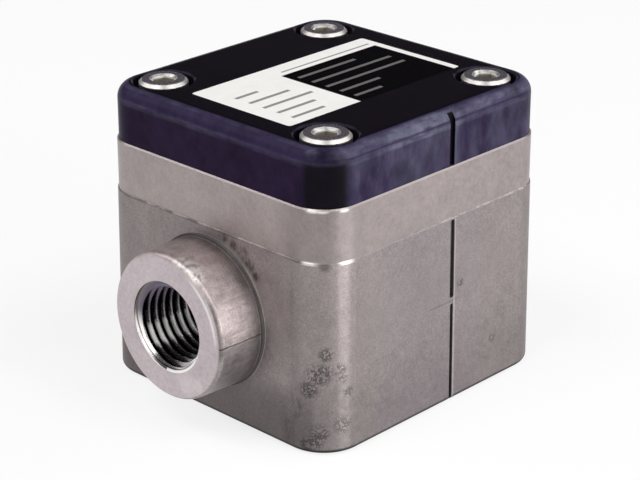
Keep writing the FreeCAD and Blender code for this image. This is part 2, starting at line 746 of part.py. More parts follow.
def make_rotor(label, y, turned, magnets):
    """An oval gear, bored for its bush, with a recess at each end for a thrust washer."""
    body = new_body(label, y=y, z="rotor_floor")
    body.Placement.Rotation = FreeCAD.Rotation(Vector(0, 0, 1), turned)
    outline = new_sketch(body, label + "_outline")
    draw_rotor_outline(outline)
    pad(body, outline, "rotor_height", label + "_pad")
    bore = new_sketch(body, label + "_bore", height="rotor_height")
    add_circle(bore, "bush_radius")
    pocket(body, bore, "rotor_height", label + "_bore_cut")
    upper = new_sketch(body, label + "_upper_recess", height="rotor_height")
    add_circle(upper, "hub_recess_radius")
    pocket(body, upper, "rotor_hub_recess", label + "_upper_recess_cut")
    lower = new_sketch(body, label + "_lower_recess")
    add_circle(lower, "hub_recess_radius")
    pocket(body, lower, "rotor_hub_recess", label + "_lower_recess_cut", upward=True)
    if magnets:
        holes = new_sketch(body, label + "_magnet_holes", height="rotor_height")
        add_circle(holes, "magnet_radius", "magnet_offset")
        add_circle(holes, "magnet_radius", "-magnet_offset")
        pocket(body, holes, "magnet_pocket", label + "_magnet_holes_cut")


def make_rotor_set():
    """Two rotors a quarter turn apart, with what carries them, and the magnets of the first."""
    for letter, y, turned, magnets in (("a", "-axis_offset", 90, True), ("b", "axis_offset", 0, False)):
        make_rotor("rotor_" + letter, y, turned, magnets)
        make_disc("rotor_bush_" + letter, "bush_length", "bush_radius", "bush_bore", y=y, z="bush_floor")
        make_disc("rotor_shaft_" + letter, "shaft_length", "shaft_radius", y=y, z="shaft_hole_floor")
        make_disc("lower_washer_" + letter, "washer_thickness", "washer_radius", "washer_bore",
                  y=y, z="chamber_floor")
        make_disc("upper_washer_" + letter, "washer_thickness", "washer_radius", "washer_bore",
                  y=y, z="washer_top_floor")
    for letter, side in (("a", "-"), ("b", "+")):
        row = "%s %s %s" % (link("-axis_offset"), side, link("magnet_offset"))
        magnet = make_disc("rotor_magnet_" + letter, "magnet_height", "magnet_radius", z="magnet_floor")
        cap = make_disc("magnet_cap_" + letter, "cap_thickness", "magnet_radius", z="cap_floor")
        magnet.setExpression("Placement.Base.y", row)
        cap.setExpression("Placement.Base.y", row)


def make_pick_up():
    """The board with its pick-ups in the lid's pocket, the cover over it and the label."""
    board = new_body("circuit_board", x="label_x", y="label_y", z="board_z")
    outline = new_sketch(board, "circuit_board_outline")
    add_rounded_rectangle(outline, "board_length", "board_width", "board_corner")
    pad(board, outline, "board_thickness", "circuit_board_pad")
    holes = new_sketch(board, "circuit_board_holes", height="board_thickness")
    add_circle(holes, "board_hole", "standoff_x")
    add_circle(holes, "board_hole", "-standoff_x")
    pocket(board, holes, "board_thickness", "circuit_board_holes_cut")

    for letter, side in (("a", "-"), ("b", "")):
        make_box("hall_sensor_" + letter, "hall_length", "hall_width", "hall_height",
                 side + "hall_spread", "hall_y", "hall_z")
        make_box("board_chip_" + letter, "chip_length", "chip_width", "chip_height",
                 side + "chip_spread", "label_y", "board_top_z")
        screw = new_body("board_screw_" + letter, y="label_y", z="board_top_z")
        screw.setExpression("Placement.Base.x", "%s + %s" % (link("label_x"), link(side + "standoff_x")))
        profile = new_sketch(screw, "board_screw_profile_" + letter, "XZ_Plane")
        add_profile(profile, [(None, "-board_screw_length"), ("board_screw_radius", "-board_screw_length"),
                              ("board_screw_radius", None), ("board_screw_head_radius", None),
                              ("board_screw_head_radius", "board_screw_head_height"),
                              (None, "board_screw_head_height")])
        turn(screw, profile, "board_screw_turn_" + letter)

    for label, length, width, thickness, z in (
            ("pocket_cover", "cover_length", "cover_width", "cover_thickness", "cover_z"),
            ("label_plate", "label_length", "label_width", "label_thickness", "label_z")):
        plate = new_body(label, x="label_x", y="label_y", z=z)
        outline = new_sketch(plate, label + "_outline")
        add_rounded_rectangle(outline, length, width, "label_corner")
        pad(plate, outline, thickness, label + "_pad")


def make_grommet():
    """The rubber bush that the cable leaves through, in the back of the lid."""
    grommet = new_body("cable_grommet", x="-grommet_offset", y="lid_half_depth", z="grommet_z")
    outline = new_sketch(grommet, "cable_grommet_outline", "XZ_Plane")
    add_circle(outline, "grommet_radius")
    add_circle(outline, "cable_radius")
    pad(grommet, outline, "grommet_length", "cable_grommet_pad")


make_cast_body()
make_lid()
make_lid_seal()
for count, (x, y, turned) in enumerate(LID_SCREWS, start=1):
    make_lid_screw("lid_screw_%d" % count, x, y, turned)
make_rotor_set()
make_pick_up()
make_grommet()
doc.recompute()

pieces = [item for item in doc.Objects if item.TypeId in ("PartDesign::Body", "Part::Box")]
for item in doc.Objects:
    if "Invalid" in item.State or "Error" in item.State:
        raise RuntimeError(item.Label + " did not build")
for piece in pieces:
    if piece.Shape.isNull() or not piece.Shape.isValid():
        raise RuntimeError(piece.Label + " has no valid shape")

os.makedirs("parts", exist_ok=True)
for piece in pieces:
    piece.Shape.exportStep("parts/" + piece.Label + ".step")
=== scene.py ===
"""Looks of the oval gear flow sensor: a finish for every CAD node, port threads, stage and camera.

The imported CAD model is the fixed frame. Lengths in the property groups are in metres, as Blender shows
them. Shader maths and the places of marks are in millimetres of the shared frame.
"""
import json
import math

import bmesh
import bpy
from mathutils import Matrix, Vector


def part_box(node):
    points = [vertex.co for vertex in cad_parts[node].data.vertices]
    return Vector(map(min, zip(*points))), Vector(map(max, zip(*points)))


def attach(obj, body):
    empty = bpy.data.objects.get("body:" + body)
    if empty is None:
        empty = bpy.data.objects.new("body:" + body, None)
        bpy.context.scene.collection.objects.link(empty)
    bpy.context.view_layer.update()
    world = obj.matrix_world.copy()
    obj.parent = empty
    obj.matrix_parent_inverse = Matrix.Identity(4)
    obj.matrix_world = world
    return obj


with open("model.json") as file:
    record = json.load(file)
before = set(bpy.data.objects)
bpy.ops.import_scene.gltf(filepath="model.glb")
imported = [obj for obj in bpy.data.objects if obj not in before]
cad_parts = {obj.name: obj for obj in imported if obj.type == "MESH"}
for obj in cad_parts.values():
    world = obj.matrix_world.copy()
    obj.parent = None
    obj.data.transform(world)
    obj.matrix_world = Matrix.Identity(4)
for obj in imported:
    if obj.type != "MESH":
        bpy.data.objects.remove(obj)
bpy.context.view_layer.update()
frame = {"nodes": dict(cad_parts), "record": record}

bl_info = {
    "name": "Oval Gear Flow Sensor",
    "version": (1, 0, 0),
    "blender": (4, 5, 0),
    "location": "View3D > Sidebar > Flow Sensor",
    "description": "Dresses the packed flow sensor with its finishes, port threads and studio stage",
    "category": "Object",
}

NODES = frame["nodes"]
MOUNTS = {mount["name"]: mount for mount in frame["record"]["mounts"]}
MM = 1000.0
TURN = 2 * math.pi


def node_box_mm(name):
    """Lowest and highest corner of a CAD node in millimetres."""
    low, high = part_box(name)
    return low * MM, high * MM


BODY_LOW, BODY_HIGH = node_box_mm("body")
LID_LOW, LID_HIGH = node_box_mm("sensor_lid")
LABEL_LOW, LABEL_HIGH = node_box_mm("label_plate")
SCREW_LOW, SCREW_HIGH = node_box_mm("lid_screw_3")
SCREW_AXIS = (SCREW_LOW + SCREW_HIGH) / 2

# The ports and the standard of their thread, in metres.
PORT = MOUNTS["inlet_port"]
PORT_HEIGHT = PORT["pos_m"][2]
PORT_RADIUS = PORT["dims"]["r_mm"] / MM
PORT_DEPTH = PORT["dims"]["length_mm"] / MM
PORT_MOUTH = abs(PORT["pos_m"][0])
INCH = 0.0254
TURNS_IN_AN_INCH = 19

# The ports' axis and bore, the body's upright walls at the ledge and its bosses, in millimetres.
PORT_Z = PORT_HEIGHT * MM
BORE = PORT_RADIUS * MM
LID_STEP = 0.4
WALL_X = LID_HIGH.x + LID_STEP
WALL_Y = LID_HIGH.y + LID_STEP
DRAFT = BODY_HIGH.y - WALL_Y
CORNER_RADIUS = 5.8
BOSS_WALL = 3.9
BOSS_RADIUS = BORE + BOSS_WALL
# The groove down the front: its place, and half its width on the body and on the lid.
GROOVE_X = 2.3
GROOVE_HALF = 0.43
LID_GROOVE_HALF = 0.52


def length_property(name, description, default, low=0.0):
    """A length that a user may change."""
    return bpy.props.FloatProperty(
        name=name, description=description, default=default, min=low, unit="LENGTH", precision=5)


def colour_property(name, description, default):
    """A colour that a user may change."""
    return bpy.props.FloatVectorProperty(
        name=name, description=description, default=default, subtype="COLOR", min=0.0, max=1.0)


def share_property(name, description, default):
    """A share from 0 to 1 that a user may change."""
    return bpy.props.FloatProperty(
        name=name, description=description, default=default, min=0.0, max=1.0, subtype="FACTOR")


def power_property(name, description, default):
    """The power of a lamp, in watts, that a user may change."""
    return bpy.props.FloatProperty(
        name=name, description=description, default=default, min=0.0, unit="POWER")


class SensorSizes(bpy.types.PropertyGroup):
    """Sizes of what the looks add to the CAD model."""

    band_height: length_property("Milled Band", "Height of the milled band below the lid", 0.0075)
    thread_pitch: length_property(
        "Thread Pitch", "Distance between two turns of the port thread", INCH / TURNS_IN_AN_INCH, 0.0005)
    thread_depth: length_property(
        "Thread Depth", "Height of the thread from root to crest", 0.00095, 0.0002)
    thread_flat: length_property(
        "Thread Flat", "Width of the flat on the thread's crest and in its root", 0.00018)
    thread_taper: bpy.props.FloatProperty(
        name="Thread Taper", description="How much the thread's radius shrinks for each length inwards",
        default=1 / 32, min=0.0, max=0.1)
    lead_in: length_property(
        "Lead In", "Depth of the countersink that opens the port's thread", 0.0005, 0.0001)
    label_band: length_property(
        "Label Band", "Width of the pale band along the label's back edge", 0.0037)
    label_panel: length_property(
        "Label Panel", "Length of the pale panel at the label's inlet end", 0.0138)
    label_edge: length_property(
        "Label Edge", "Width of the pale line at the label's outlet end", 0.0012)
    rule_width: length_property("Rule Width", "Width of the blank ruled lines on the label", 0.0006)
    rule_step: length_property(
        "Rule Step", "Distance between two ruled lines on the label", 0.0027, 0.0005)


class SensorColours(bpy.types.PropertyGroup):
    """Colours of the main finishes."""

    cast: colour_property("Cast Skin", "As-cast skin of the steel body", (0.300, 0.262, 0.260))
    milled: colour_property("Milled Band", "Milled band under the lid", (0.390, 0.340, 0.333))
    turned: colour_property("Turned Steel", "Turned boss faces and port mouths", (0.575, 0.503, 0.525))
    lid: colour_property("Lid Plastic", "Moulded plastic of the lid", (0.005, 0.0035, 0.006))
    lid_side: colour_property(
        "Lid Sides", "Weathered plastic on the lid's upright sides", (0.0215, 0.0145, 0.039))
    label_pale: colour_property("Label Pale", "Pale panels of the label", (0.88, 0.86, 0.84))
    label_dark: colour_property("Label Dark", "Dark field of the label", (0.0025, 0.002, 0.0028))
    screw: colour_property("Screw Steel", "Lid and board screws", (0.56, 0.53, 0.51))
    rotor: colour_property("Rotor Plastic", "Filled plastic of the oval gears", (0.16, 0.13, 0.10))
    board: colour_property("Board Mask", "Solder mask of the circuit board", (0.02, 0.16, 0.06))


class StageSettings(bpy.types.PropertyGroup):
    """Camera, floor and lamps."""

    camera_place: bpy.props.FloatVectorProperty(
        name="Camera Place", description="Where the camera stands",
        default=(-0.202757, -0.193868, 0.139047), subtype="TRANSLATION")
    camera_heading: bpy.props.FloatProperty(
        name="Camera Heading", description="Direction the camera looks in, from +Y towards +X",
        default=math.radians(46.142), subtype="ANGLE")
    camera_tilt: bpy.props.FloatProperty(
        name="Camera Tilt", description="How far the camera looks down",
        default=math.radians(23.187), subtype="ANGLE")
    focal_pixels: bpy.props.FloatProperty(
        name="Focal Length", description="Focal length in pixels of an image 640 wide",
        default=2108.0, min=100.0, subtype="PIXEL")
    floor_size: bpy.props.FloatProperty(
        name="Floor Size", description="Side of the square floor",
        default=6.0, min=0.5, unit="LENGTH")
    floor_drop: length_property(
        "Floor Drop", "How far the floor lies below the body's underside", 0.00005)
    floor_colour: colour_property("Floor Colour", "Pale colour of the floor", (0.90, 0.90, 0.90))
    floor_white: share_property(
        "Floor White", "Share of plain white in the floor as the eye and polished metal see it", 0.80)
    sky_dim: share_property(
        "Dim Sky", "How much darker the surroundings are overhead than at the horizon", 0.97)
    key_power: power_property(
        "Key Lamp", "Power of the low soft lamp in front, on the outlet side", 2.2)
    inlet_power: power_property(
        "Inlet Lamp", "Power of the soft lamp that shines into the inlet port", 1.1)
    strip_power: power_property(
        "Strip Lamp", "Power of the narrow lamp in front, which draws the corner's highlight", 1.1)
    top_power: power_property("Top Lamps", "Power of each of the two lamps overhead", 2.2)
    rim_power: power_property(
        "Rim Lamps", "Power of each of the two high lamps that light the upper edges", 1.2)


class Value:
    """A number or colour that runs through a node tree, so that shader maths reads as plain Python."""

    def __init__(self, nodes, socket):
        self.nodes = nodes
        self.socket = socket

    def math(self, operation, *values):
        return self.nodes.add("ShaderNodeMath", {"operation": operation}, dict(enumerate(values)))

    def __add__(self, other):
        return self.math("ADD", self, other)

    def __radd__(self, other):
        return self.math("ADD", other, self)

    def __sub__(self, other):
        return self.math("SUBTRACT", self, other)

    def __rsub__(self, other):
        return self.math("SUBTRACT", other, self)

    def __mul__(self, other):
        return self.math("MULTIPLY", self, other)

    def __rmul__(self, other):
        return self.math("MULTIPLY", other, self)

    def __truediv__(self, other):
        return self.math("DIVIDE", self, other)

    def __abs__(self):
        return self.math("ABSOLUTE", self)

    def sine(self):
        return self.math("SINE", self)

    def root(self):
        return self.math("SQRT", self)

    def higher_of(self, other):
        return self.math("MAXIMUM", self, other)

    def rise(self, start, end):
        """0 below start, 1 above end and smooth between them."""
        return self.nodes.add("ShaderNodeMapRange", {"interpolation_type": "SMOOTHSTEP"},
                              {"Value": self, "From Min": start, "From Max": end}, "Result")

    def fall(self, start, end):
        """1 below start, 0 above end and smooth between them."""
        return 1 - self.rise(start, end)

    def within(self, low, high, soft):
        """1 between low and high, falling to 0 over the soft distance outside them."""
        return self.rise(low - soft, low) * self.fall(high, high + soft)


class Nodes:
    """A node tree, with one way to add a node of any kind."""

    def __init__(self, tree):
        tree.nodes.clear()
        self.tree = tree

    def add(self, kind, settings=None, inputs=None, output=0):
        """Adds a node: its settings first, then its inputs; returns one of its outputs."""
        node = self.tree.nodes.new(kind)
        for name, value in (settings or {}).items():
            setattr(node, name, value)
        for name, value in (inputs or {}).items():
            self.put(node.inputs[name], value)
        return Value(self, node.outputs[output]) if node.outputs else None

    def put(self, socket, value):
        """Links a Value to a socket, or sets the socket to a plain number, vector or colour."""
        if isinstance(value, Value):
            self.tree.links.new(value.socket, socket)
        elif isinstance(value, (int, float)):
            socket.default_value = value
        else:
            socket.default_value = (*value, 1.0) if socket.type == "RGBA" else tuple(value)


class Finish(Nodes):
    """One procedural material around a Principled shader; place, x, y and z are in millimetres."""

    def __init__(self, name):
        self.material = bpy.data.materials.new(name)
        self.material.use_nodes = True
        super().__init__(self.material.node_tree)
        self.place = self.vector("SCALE", self.add("ShaderNodeTexCoord", output="Object"), Scale=MM)
        self.x, self.y, self.z = (self.add("ShaderNodeSeparateXYZ", {}, {"Vector": self.place}, axis)
                                  for axis in "XYZ")

    def vector(self, operation, *vectors, output=0, **inputs):
        """Vector maths on up to two vectors."""
        return self.add("ShaderNodeVectorMath", {"operation": operation},
                        {**dict(enumerate(vectors)), **inputs}, output)

    def distance(self, point):
        """Distance in millimetres from a point."""
        return self.vector("DISTANCE", self.place, point, output="Value")

    def from_axis(self, across, up):
        """Distance from an axis, out of the distances along two directions square to it."""
        return (across * across + up * up).root()

    def noise(self, scale, detail=4.0, roughness=0.55, stretch=(1.0, 1.0, 1.0)):
        """Cloudy noise between 0 and 1; scale counts cells for each millimetre."""
        place = self.vector("MULTIPLY", self.place, stretch)
        return self.add("ShaderNodeTexNoise", {"noise_dimensions": "3D"},
                        {"Vector": place, "Scale": scale, "Detail": detail, "Roughness": roughness})

    def cells(self, scale):
        """Distance to the nearest of many scattered points."""
        return self.add("ShaderNodeTexVoronoi", {"feature": "F1"},
                        {"Vector": self.place, "Scale": scale}, "Distance")

    def mix(self, share, first, second, blend="MIX"):
        """Mixes two colours."""
        return self.add("ShaderNodeMix", {"data_type": "RGBA", "blend_type": blend},
                        {0: share, 6: first, 7: second}, 2)

    def shade(self, colour, amount):
        """Multiplies a colour by a grey amount."""
        grey = self.add("ShaderNodeCombineColor", {}, {"Red": amount, "Green": amount, "Blue": amount})
        return self.mix(1.0, colour, grey, "MULTIPLY")

    def spots(self, marks):
        """Soft round spots at several places, each given by its middle and its size."""
        covered = None
        for middle, size in marks:
            spot = self.distance(middle).fall(size * 0.3, size)
            covered = spot if covered is None else covered.higher_of(spot)
        return covered

    def bump(self, height, depth_mm):
        """Surface normal of a height field that runs from 0 to 1 over a depth."""
        return self.add("ShaderNodeBump", {}, {"Height": height, "Distance": depth_mm / MM}, "Normal")

    def done(self, **inputs):
        """Ends the material with a Principled shader; an underscore in a name stands for a space."""
        settings = {name.replace("_", " "): value for name, value in inputs.items()}
        shader = self.add("ShaderNodeBsdfPrincipled", {}, settings)
        self.add("ShaderNodeOutputMaterial", {}, {"Surface": shader})
        return self.material


# Spots on the casting: the middle and the size of each, in millimetres.
CORNER_STAINS = (
    ((-21.3, -20.6, 14.9), 1.5), ((-22.0, -19.9, 11.8), 2.4), ((-21.4, -20.5, 12.4), 1.7),
    ((-22.7, -18.8, 9.6), 1.9), ((-22.0, -20.1, 3.2), 1.9), ((-22.4, -19.6, 1.9), 1.7),
    ((-22.9, -18.5, 1.4), 1.5))
PITTED_SPOTS = (
    ((-19.8, -21.7, 12.6), 1.4), ((-19.4, -21.8, 11.2), 1.1), ((-18.6, -22.2, 9.1), 1.2),
    ((-19.5, -22.0, 4.3), 2.0))
FRONT_STAINS = (((4.1, -22.2, 17.8), 1.0), ((11.4, -22.3, 6.8), 1.0))
LOW_SMEARS = (((-23.3, -16.5, 6.4), 2.6), ((-23.3, -15.9, 3.4), 2.4), ((-23.3, -16.2, 1.2), 2.2))
BOSS_SMEARS = (
    ((-23.0, -3.1, 27.3), 1.3), ((-23.0, -5.1, 26.6), 1.4), ((-23.0, -6.7, 25.9), 1.6),
    ((-23.0, -8.0, 24.8), 1.4), ((-23.0, -9.3, 23.3), 1.1))
# Painted highlights on the ledge at the front corner.
LEDGE_HIGHLIGHTS = (((-22.5, -18.6, 27.95), 1.5), ((-18.6, -21.95, 27.95), 1.5))
LEDGE_DIRT = (((-21.3, -20.4, 27.7), 1.1),)
# Painted highlights on the body's rim at the front corner.
RIM_HIGHLIGHTS = (((-18.95, -21.7, 35.25), 0.9), ((-21.6, -20.1, 35.6), 1.3), ((-22.2, -19.0, 35.6), 1.3))
FACE_RUBS = (((-31.2, -4.0, 8.4), 2.6), ((-31.2, -6.0, 8.8), 1.6))
# Painted highlights on the inlet boss's rounded edge.
BOSS_EDGE_HIGHLIGHTS = (((-30.1, -2.6, 25.7), 1.8), ((-29.9, -4.1, 25.2), 2.0), ((-30.1, -5.5, 24.5), 1.6))

# Broad zones on the casting, in millimetres: start and end, and how softly a zone with two ends stops.
COOL_FRONT_X = (-9.0, 4.0, 6.0)
FRONT_SEAM_X = (-1.0, GROOVE_X - 0.1, 3.0)
DARKER_FOOT_Z = (3.0, 15.0)
DARK_FOOT_Z = (0.45, 0.9)
# Painted light lightens the inlet wall between these places beside the inlet boss.
LIT_BESIDE_BOSS_Y = (-14.5, -9.0, 2.5)
LIT_BESIDE_BOSS_Z = (10.0, 25.0, 4.0)
BOSS_FRONT_Y = (-5.0, -1.0)
FACE_EDGE_Y = (-7.0, -3.5)
SCUFFED_AND_LIT_LEDGE_X = (-10.0, 6.0)

# A painted highlight runs down the front corner along an upright line, where the steel is also smoother:
# angle round from the inlet side, and width.
HIGHLIGHT_ANGLE = math.radians(71.0)
HIGHLIGHT_WIDTH = (-0.35, 0.35, 0.9)
HIGHLIGHT_Y = (-19.0, -18.0)
# Painted shade darkens the milled band where it turns this corner: angle, and the reach from start to full.
SHADED_TURN = (math.radians(28.0), 0.55, 0.88)
SHADED_STREAK = (math.radians(59.0), 0.976, 0.991)

# The edge between a boss's face and its side looks rounded over these widths.
ROUND_ON_FACE = 0.6
ROUND_ON_SIDE = 1.0
# The step of the turning marks and the depth of the skin's relief.
TURNING_STEP = 0.34
SKIN_RELIEF = 0.030

# Colours of dirt, of plain steel, of painted shade and of painted highlights on the casting.
DIRT = (0.040, 0.036, 0.036)
SMEARED_DIRT = (0.065, 0.054, 0.052)
FOOT_SHADE = (0.012, 0.011, 0.012)
GROOVE_SHADE = (0.075, 0.068, 0.070)
BOSS_STEEL = (0.545, 0.468, 0.457)
# Painted shade on the lower half of the bosses' sides.
SHADED_LOWER_BOSS = (0.200, 0.195, 0.215)
FRONT_STEEL = (0.284, 0.249, 0.262)
RIM_STEEL = (0.29, 0.26, 0.255)
ROOT_LINE_STEEL = (0.60, 0.56, 0.54)
# Painted highlights, in order: on the ledge's corner, on the front ledge's scuffs, on the groove's lip,
# round the boss faces (with pale rubs) and on boss edge and rim.
LEDGE_HIGHLIGHT_STEEL = (0.60, 0.56, 0.55)
SCUFFED_AND_LIT_STEEL = (0.58, 0.53, 0.52)
LIP_HIGHLIGHT_STEEL = (0.62, 0.57, 0.55)
FACE_HIGHLIGHT_AND_RUB_STEEL = (0.90, 0.84, 0.85)
HIGHLIGHT_STEEL = (0.92, 0.87, 0.84)

# How strongly each mark shows on the casting: how much it covers, or how much it lightens or darkens.
MARKS = {
    "boss_steel": 0.55, "front_steel": 0.70, "lower_boss": 0.35, "rim": 0.80,
    "grimy_foot": 0.18, "grimy_inlet_foot": 0.28, "beside_boss": 0.32, "round_boss": 0.42,
    "root_grime": 0.55, "rubbed_flank": 0.42, "stains": 0.85, "smaller_stains": 0.80,
    "low_smears": 0.55, "boss_smears": 0.80, "seam": 0.75, "front_seam": 0.45,
    "under_ledge": 0.60, "ledge_dirt": 0.50, "scuffed_ledge": 0.40, "boss_root": 0.80, "root_line": 0.50,
    "corner_rub": 0.34, "dull_turn": 0.24, "dull_streak": 0.30, "dull_edge": 0.45, "face_edge": 0.65,
    "face_rubs": 0.30, "rubbed_edge": 0.90, "foot_edge": 0.95, "groove": 0.85, "groove_lip": 0.35,
}


class CastSteel(Finish):
    """Cast stainless steel: the zones of the body, and the marks that are laid on its skin."""

    def __init__(self, sizes):
        super().__init__("cast_steel")
        self.colour = None
        self.rim = BODY_HIGH.z
        self.ledge = self.rim - sizes.band_height * MM
        self.along = abs(self.x)
        self.radius = self.from_axis(self.y, self.z - PORT_Z)
        self.skin = self.noise(1.4, 5.0, 0.6)
        self.grit = self.noise(4.5, 3.0, 0.6)
        self.broken = self.noise(1.3, 4.0, 0.65).rise(0.44, 0.58)

        mouth = self.along.rise(WALL_X - 3.0, WALL_X - 2.6) * self.radius.fall(BORE + 0.3, BORE + 0.5)
        self.milled = self.z.rise(self.ledge - 0.05, self.ledge + 0.05)
        self.turned = self.along.rise(BODY_HIGH.x - 0.35, BODY_HIGH.x - 0.1).higher_of(mouth)
        self.boss = self.along.rise(WALL_X + 0.4, WALL_X + 0.8)
        self.boss_side = self.boss * (1 - self.turned)
        self.boss_front = self.y.fall(*BOSS_FRONT_Y)
        self.inlet_wall = self.x.fall(-WALL_X + 0.3, -WALL_X + 0.8) * (1 - self.boss)
        self.front_wall = self.y.fall(-WALL_Y + 0.3, -WALL_Y + 0.8)
        self.on_face = ((self.radius - (BOSS_RADIUS - ROUND_ON_FACE)) / ROUND_ON_FACE).higher_of(0.0)
        self.on_side = ((self.along - (BODY_HIGH.x - ROUND_ON_SIDE)) / ROUND_ON_SIDE).higher_of(0.0)

    def lay(self, share, paint):
        """Lays a share of a colour over what is there."""
        self.colour = self.mix(share, self.colour, paint)

    def tone(self, amount):
        """Lightens or darkens what is there."""
        self.colour = self.shade(self.colour, amount)

    def colour_skin(self, colours):
        """Cast skin, milled band, bosses and turned faces, with their mottle and painted shade on the front
        wall.
        """
        cloud = self.noise(0.12, 3.0)
        blotch = self.noise(0.40, 4.0, 0.6)
        self.colour = self.mix(self.milled, colours.cast, colours.milled)
        self.lay(self.boss * MARKS["boss_steel"], BOSS_STEEL)
        self.lay(self.turned, colours.turned)
        cool = self.front_wall * self.x.within(*COOL_FRONT_X) * (1 - self.milled)
        self.lay(cool * MARKS["front_steel"], FRONT_STEEL)
        tone = 0.88 + (cloud - 0.5) * 0.20 + (self.skin - 0.5) * 0.42
        tone = tone + (self.grit - 0.5) * (0.80 - self.milled * 0.45 - self.turned * 0.40)
        tone = tone + (blotch - 0.5) * (0.28 + self.boss_side * 0.55 - self.turned * 0.20)
        # Painted shade darkens the front wall a little, and its milled band more.
        self.tone(tone * (1 - self.front_wall * (0.04 + self.milled * 0.05)))

    def broad_tones(self):
        """Darker foot; painted shade at boss roots; painted light by the inlet boss and on boss flanks."""
        # Darker towards the bottom, the inlet wall more so.
        foot = (1 - self.boss) * MARKS["grimy_foot"] + self.inlet_wall * MARKS["grimy_inlet_foot"]
        # Painted light beside and round the inlet boss, where the boss shades the wall.
        beside = self.inlet_wall * self.y.within(*LIT_BESIDE_BOSS_Y) * self.z.within(*LIT_BESIDE_BOSS_Z)
        around = self.inlet_wall * self.boss_front * (1 - self.milled)
        around = around * self.radius.fall(BOSS_RADIUS + 0.6, BOSS_RADIUS + 5.0)
        around = around * self.z.rise(PORT_Z - 1.0, PORT_Z + 3.0)
        # Painted shade on the bosses' sides near their roots.
        root = self.boss_side * self.along.fall(WALL_X + 0.3, WALL_X + 3.2)
        # Painted highlight on the bosses' upper flanks.
        flank = self.boss_side * self.along.rise(WALL_X + 1.5, WALL_X + 5.0)
        flank = flank * self.z.rise(PORT_Z + 4.8, PORT_Z + 8.0)
        self.tone((1 - self.z.fall(*DARKER_FOOT_Z) * foot) * (1 - root * MARKS["root_grime"]))
        self.tone((1 + beside * MARKS["beside_boss"]) * (1 + around * MARKS["round_boss"]))
        self.tone(1 + flank * MARKS["rubbed_flank"])

    def stains(self):
        """Pitted, webbed stains at the corner and on the front; returns where they are."""
        web = abs(self.noise(1.5, 3.0, 0.6) - 0.5).fall(0.03, 0.10)
        pits = self.cells(2.0).fall(0.14, 0.40)
        grime = web.higher_of(pits * self.broken)
        pitted = self.spots(PITTED_SPOTS) * pits.higher_of(web)
        smaller = pitted.higher_of(self.spots(FRONT_STAINS) * grime)
        stain = (self.spots(CORNER_STAINS) * grime).higher_of(smaller * MARKS["smaller_stains"])
        self.lay(stain * MARKS["stains"], DIRT)
        return stain

    def smears(self):
        """Wiped dirt on the inlet wall, low down and along the boss's upper edge."""
        wiped = self.noise(1.0, 4.0, 0.6, (1.0, 1.0, 0.4))
        low = self.spots(LOW_SMEARS) * wiped.rise(0.42, 0.62) * MARKS["low_smears"]
        by_boss = self.spots(BOSS_SMEARS) * wiped.rise(0.36, 0.60) * MARKS["boss_smears"]
        self.lay(low.higher_of(by_boss), SMEARED_DIRT)

    def seam(self):
        """Parting line on the bosses and the front, and painted shade on the boss below it; returns the
        line.
        """
        wander = (self.noise(0.5, 2.0) - 0.5) * 0.25
        on_front = self.y.fall(-WALL_Y + 0.2, -WALL_Y + 0.5) * self.x.within(*FRONT_SEAM_X)
        line = abs(self.z - PORT_Z - wander).fall(0.05, 0.16)
        line = line * (self.boss_side + on_front * MARKS["front_seam"])
        self.lay(line * MARKS["seam"], DIRT)
        # Painted shade on the lower half of the bosses' sides, below the parting line.
        self.lay(self.boss_side * self.z.fall(PORT_Z - 0.3, PORT_Z) * MARKS["lower_boss"], SHADED_LOWER_BOSS)
        return line

    def dirt_and_shade_at_roots(self):
        """Dirt and painted shade under the ledge and at the bosses' roots, with a pale line beside the inlet
        boss.
        """
        # Dirt and painted shade in a broken line under the ledge on the inlet wall.
        under = self.z.within(self.ledge - 0.30, self.ledge, 0.05) * self.inlet_wall
        self.lay(under * self.noise(0.35, 3.0).rise(0.36, 0.60) * MARKS["under_ledge"], DIRT)
        # Dirt and painted shade in the crease round the bosses' roots.
        root = self.along.within(WALL_X + 0.05, WALL_X + 0.6, 0.12)
        root = root * self.radius.within(BOSS_RADIUS - 0.05, BOSS_RADIUS + 0.5, 0.1)
        self.lay(root * MARKS["boss_root"], DIRT)
        line = self.radius.within(BOSS_RADIUS + 0.75, BOSS_RADIUS + 1.0, 0.25) * self.inlet_wall
        line = line * self.boss_front * self.z.rise(PORT_Z - 1.0, PORT_Z + 4.0)
        self.lay(line * MARKS["root_line"], ROOT_LINE_STEEL)

    def ledge_highlights_and_wear(self):
        """Painted highlights, scuffs lit as a painted highlight, and one dirty spot along the ledge."""
        # Painted highlights on the ledge at the front corner.
        wear_and_sheen = self.z.within(self.ledge - 0.36, self.ledge + 0.02, 0.12) * self.spots(LEDGE_HIGHLIGHTS)
        self.lay(wear_and_sheen, LEDGE_HIGHLIGHT_STEEL)
        # Scuffs along the front ledge, lightened as a painted highlight of its slope.
        scuffed_and_lit = self.z.within(self.ledge - 0.12, self.ledge + 0.06, 0.08) * self.front_wall * self.broken
        self.lay(scuffed_and_lit * self.x.rise(*SCUFFED_AND_LIT_LEDGE_X) * MARKS["scuffed_ledge"], SCUFFED_AND_LIT_STEEL)
        dirty = self.spots(LEDGE_DIRT) * self.z.fall(self.ledge - 0.1, self.ledge)
        self.lay(dirty * MARKS["ledge_dirt"], DIRT)

